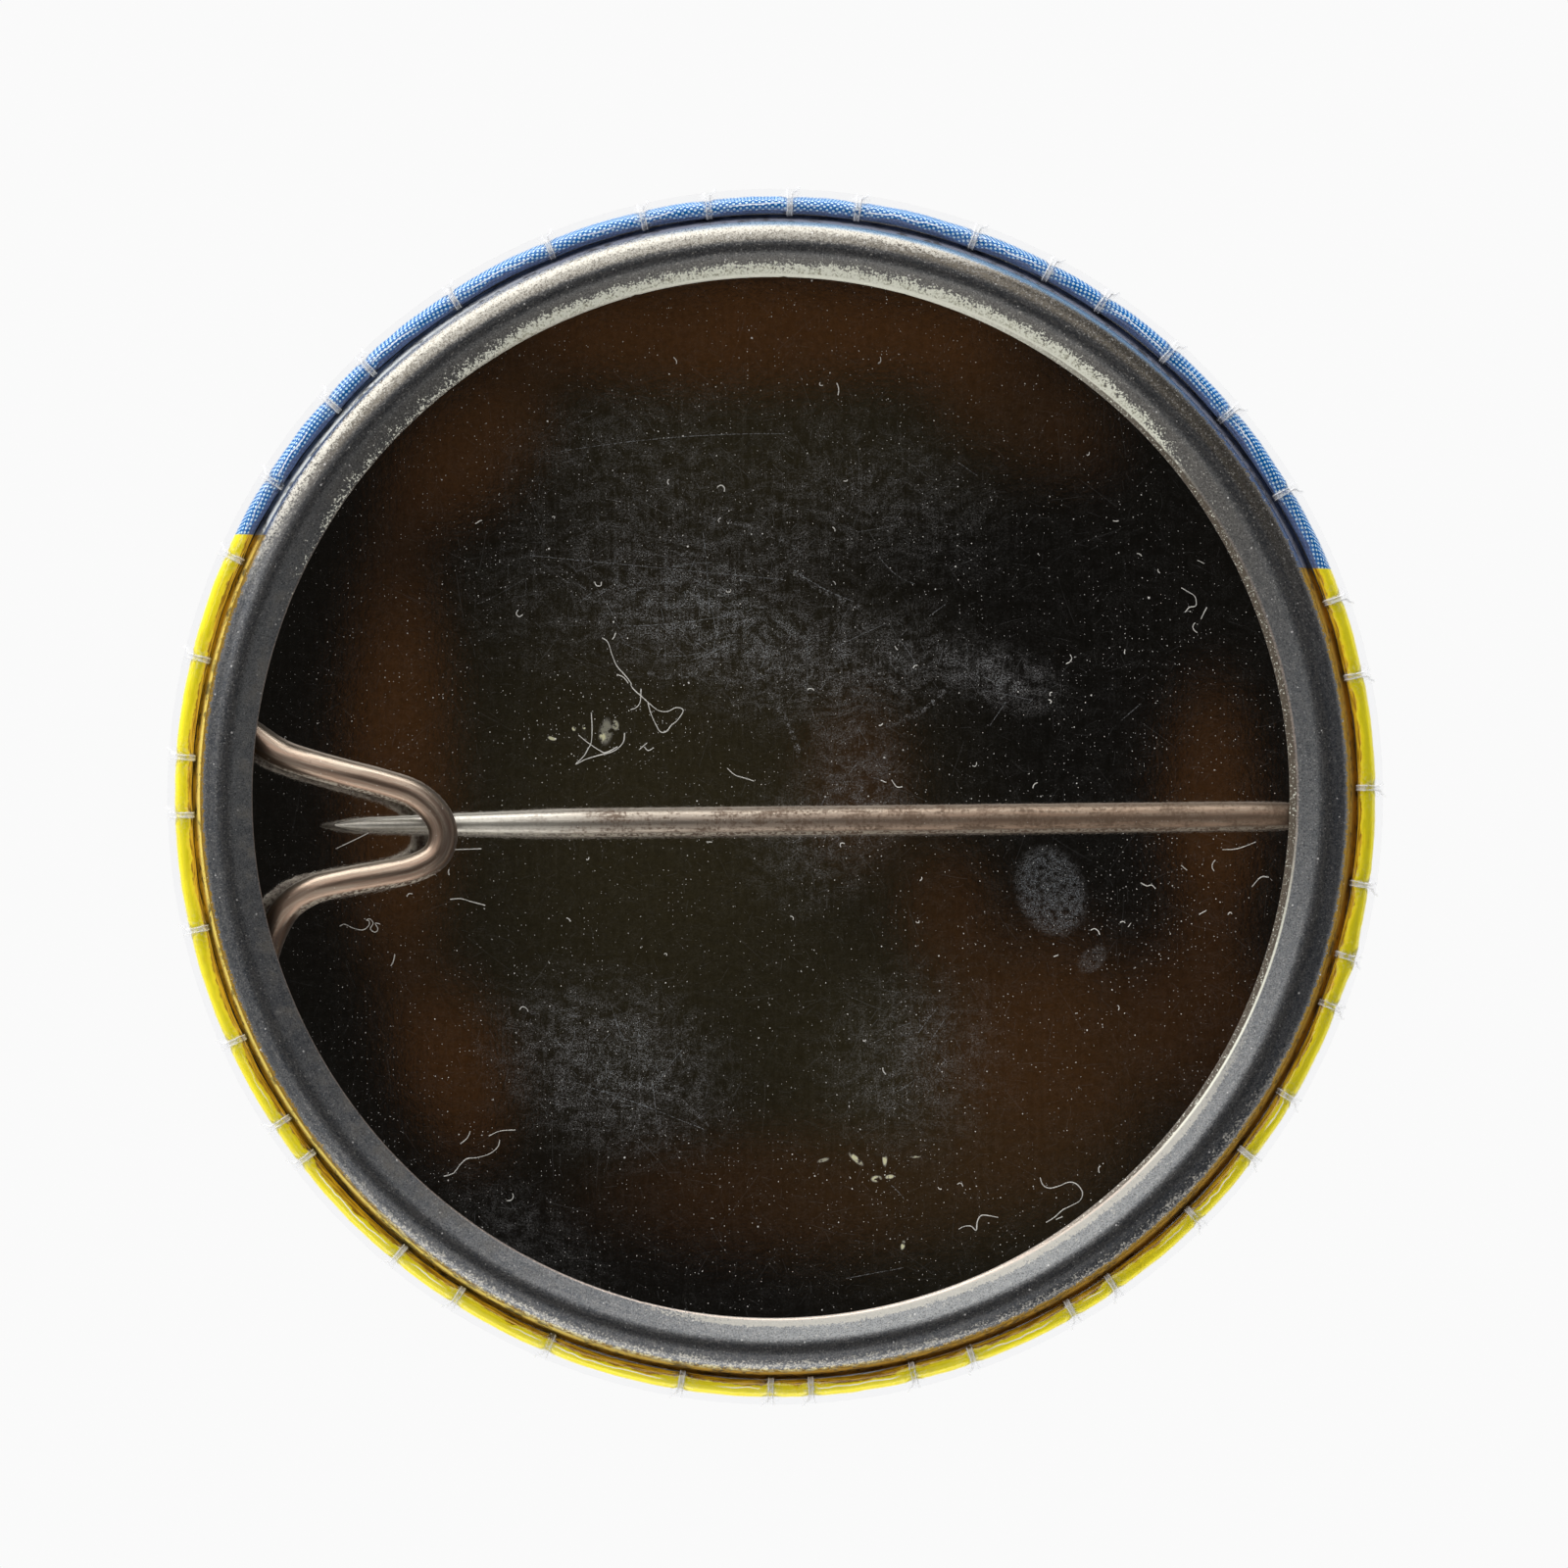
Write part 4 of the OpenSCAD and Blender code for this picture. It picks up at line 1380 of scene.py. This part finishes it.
def makePleats():
    forms = bpy.data.collections.new("pleat forms")
    for index, (height, lean, seed) in enumerate(pleat["forms"]):
        forms.objects.link(pleatForm(index, height, lean, seed))
    base = bpy.data.meshes.new("pleat places")
    base.from_pydata([(0, 0, 0)] * len(pleats), [], [])
    heights = [form[0] for form in pleat["forms"]]
    order = range(len(heights))
    marked(base, "turn", [math.radians(turn) for turn in pleatTurns])
    marked(base, "form", [min(order, key=lambda k: abs(heights[k] - stands)) for _, stands in pleats], "INT")
    finish = pinchedFilm()
    piece = grown("film_pleats", base, pleatsTree(), {"Forms": forms, "Width": 1.0, "Finish": finish})
    return dressed(piece, finish, "badge", "clear_film")


# Camera: straight above the badge, at the photograph's angle
view = {
    "lens": 291.9,
    "sensor": 36,
    "clip": 10,
    "height": 400,
    "overX": 0.279,
    "overY": 0.395,
    "turn": -0.585,
}


def addCamera():
    camera = inScene("camera", bpy.data.cameras.new("camera"))
    camera.data.lens = view["lens"]
    camera.data.sensor_width = view["sensor"]
    camera.data.clip_start = view["clip"] * mm
    camera.location = (view["overX"] * mm, view["overY"] * mm, view["height"] * mm)
    camera.rotation_euler = (0, 0, math.radians(view["turn"]))
    bpy.context.scene.camera = camera


# Soft boxes: compass direction, height in the sky, distance, width, height, brightness, colour
lights = {
    "north low": (108, 13, 520, 930, 240, 3.6, (1.0, 0.99, 0.98)),
    "north high": (108, 52, 520, 660, 340, 1.2, (1.0, 0.99, 0.98)),
    "south low": (255, 13, 520, 700, 240, 1.6, (1.0, 0.98, 0.95)),
    "south high": (255, 48, 520, 520, 360, 0.5, (1.0, 0.98, 0.95)),
}


def hung(name, shape, width, power, place, turn):
    lamp = bpy.data.lights.new(name, "AREA")
    lamp.shape = shape
    lamp.size = width * mm
    lamp.energy = power
    glow = inScene(name, lamp)
    glow.location = [value * mm for value in place]
    glow.rotation_euler = turn
    glow.visible_camera = False
    return glow


def addSoftBox(name, azimuth, elevation, distance, width, height, brightness, colour):
    up = math.radians(elevation)
    place = (*polar((0, 0), distance * math.cos(up), azimuth), distance * math.sin(up))
    turn = (math.radians(90 - elevation), 0, math.radians(azimuth + 90))
    box = hung(name, "RECTANGLE", width, brightness * 4 * width * height * mm * mm, place, turn)
    box.data.size_y = height * mm
    box.data.color = colour


# The dark room above, with the dim brown shapes that the bright inside of the shell mirrors.
# They are charted where they show on the shell: x, y, half width, half height, turn, strength
room = {
    "black": (0.008, 0.0072, 0.006),
    "olive": (0.033, 0.027, 0.0135),
    "brown": (0.072, 0.031, 0.0105),
    "wall": (0.13, 0.13, 0.135),
    "westWall": (0.36, 0.36, 0.36),
    "horizon": (0.2, 0.2, 0.2),
    "mirror": 0.01571,  # sideways share of a direction for each millimetre on the shell
}
oliveChart = [
    (-3.0, -1.0, 12.0, 14.0, 0, 1.0), (5.5, -10.0, 9.0, 7.5, 0, 1.0),
    (0.0, 11.5, 12.0, 4.5, 0, 0.7),
]
brownChart = [
    (-11.7, 1.2, 2.3, 9.4, 0, 0.85), (-9.4, 11.0, 4.4, 2.4, 45, 0.7),
    (-0.5, 14.6, 10.5, 2.4, 0, 1.0), (7.5, 12.4, 4.8, 2.4, -32, 0.6),
    (8.2, -8.2, 4.8, 5.6, 0, 0.8), (5.4, -3.6, 2.1, 3.0, 0, 0.55), (1.2, -12.3, 9.6, 2.7, 0, 0.5),
    (-10.1, -8.2, 2.3, 4.2, 15, 0.8), (13.7, -0.6, 2.0, 5.6, 0, 0.9),
    (2.6, 0.5, 2.4, 3.8, 0, 0.55), (13.2, -7.0, 3.0, 4.0, 0, 0.6),
]


def addRoom():
    world = bpy.data.worlds.new("studio")
    world.use_nodes = True
    world.node_tree.nodes.clear()
    graph = Graph(world.node_tree)
    toward = graph.add("ShaderNodeTexCoord", out="Generated")
    x, y, z = partsOf(toward)
    spot = joinParts(x * (-1 / room["mirror"]), y * (-1 / room["mirror"]), 0.0)
    wave = grain(spot, 0.3, 2, 0.5).smooth(0.2, 0.6) * 0.4 + 0.6
    colour = layered(
        mixed(patches(spot, oliveChart), room["black"], room["olive"]),
        (patches(spot, brownChart, 0.3) * wave, room["brown"]),
        (z.smooth(0.945, 0.88), mixed(x.smooth(-0.15, -0.75), room["wall"], room["westWall"])),
        (z.smooth(0.12, 0.04), room["horizon"]),
    )
    back = graph.add("ShaderNodeBackground", {}, {"Color": colour, "Strength": 1.0})
    graph.add("ShaderNodeOutputWorld", {}, {"Surface": back})
    bpy.context.scene.world = world


# Floor: a wide pale sheet whose rim curves up, so that low views see it too
floor = {
    "flat": 900,
    "wide": 1300,
    "rise": 90,
    "under": 0.01,  # how far it lies under the badge
    "steps": 96,
    "flatSteps": 6,
    "riseSteps": 12,
    "white": (0.957, 0.957, 0.957),
    "shade": 0.16,  # painted contact shadow: how bright the floor's glow stays right under the badge
    "shadeFrom": 13,
    "shadeTo": 19.3,
    "lampWidth": 260,
    "lampHeight": 0.05,
    "lampBrightness": 0.6,
}


def addFloorLamp():  # the light that the lit floor throws up past the badge's side
    power = floor["lampBrightness"] * math.pi * (floor["lampWidth"] * mm) ** 2
    place = (0, 0, floor["lampHeight"])
    lamp = hung("floor lamp", "DISK", floor["lampWidth"], power, place, (math.pi, 0, 0))
    lamp.visible_glossy = False


def addFloor():
    rows = [(floor["flat"] * i / floor["flatSteps"], 0) for i in range(floor["flatSteps"] + 1)]
    for i in range(1, floor["riseSteps"] + 1):
        share = i / floor["riseSteps"]
        out = floor["flat"] + (floor["wide"] - floor["flat"]) * share
        rows.append((out, floor["rise"] * share * share))
    rows = [(r, z - floor["under"]) for r, z in rows]
    sheet = turned("floor", rows[::-1], floor["steps"])
    finish, graph, place = newFinish("pale floor")
    _, _, radius = fromAxis(place)
    # Painted contact shadow: the floor's glow dims under and round the badge
    lit = radius.smooth(floor["shadeFrom"], floor["shadeTo"]) * (1 - floor["shade"]) + floor["shade"]
    white = mixed(lit, noLight, floor["white"])
    shown(finish, graph.add("ShaderNodeEmission", {}, {"Color": white, "Strength": 1.0}))
    sheet.data.materials.append(finish)


addCamera()
for lightName, lightRow in lights.items():
    addSoftBox(lightName, *lightRow)
addRoom()
addFloor()
addFloorLamp()
bpy.context.scene.view_settings.view_transform = "Standard"
print("camera, lights and floor ready")

makeShell()
makePaper()
makeFilm()
print("shell, paper and film made")
makeCollet()
print("collet made")
wireTree = drawnWireTree()
makeWire(wireTree)
makePin(wireTree)
makeLint(wireTree)
print("wire, pin and lint made")
makePleats()
print("pleats made")
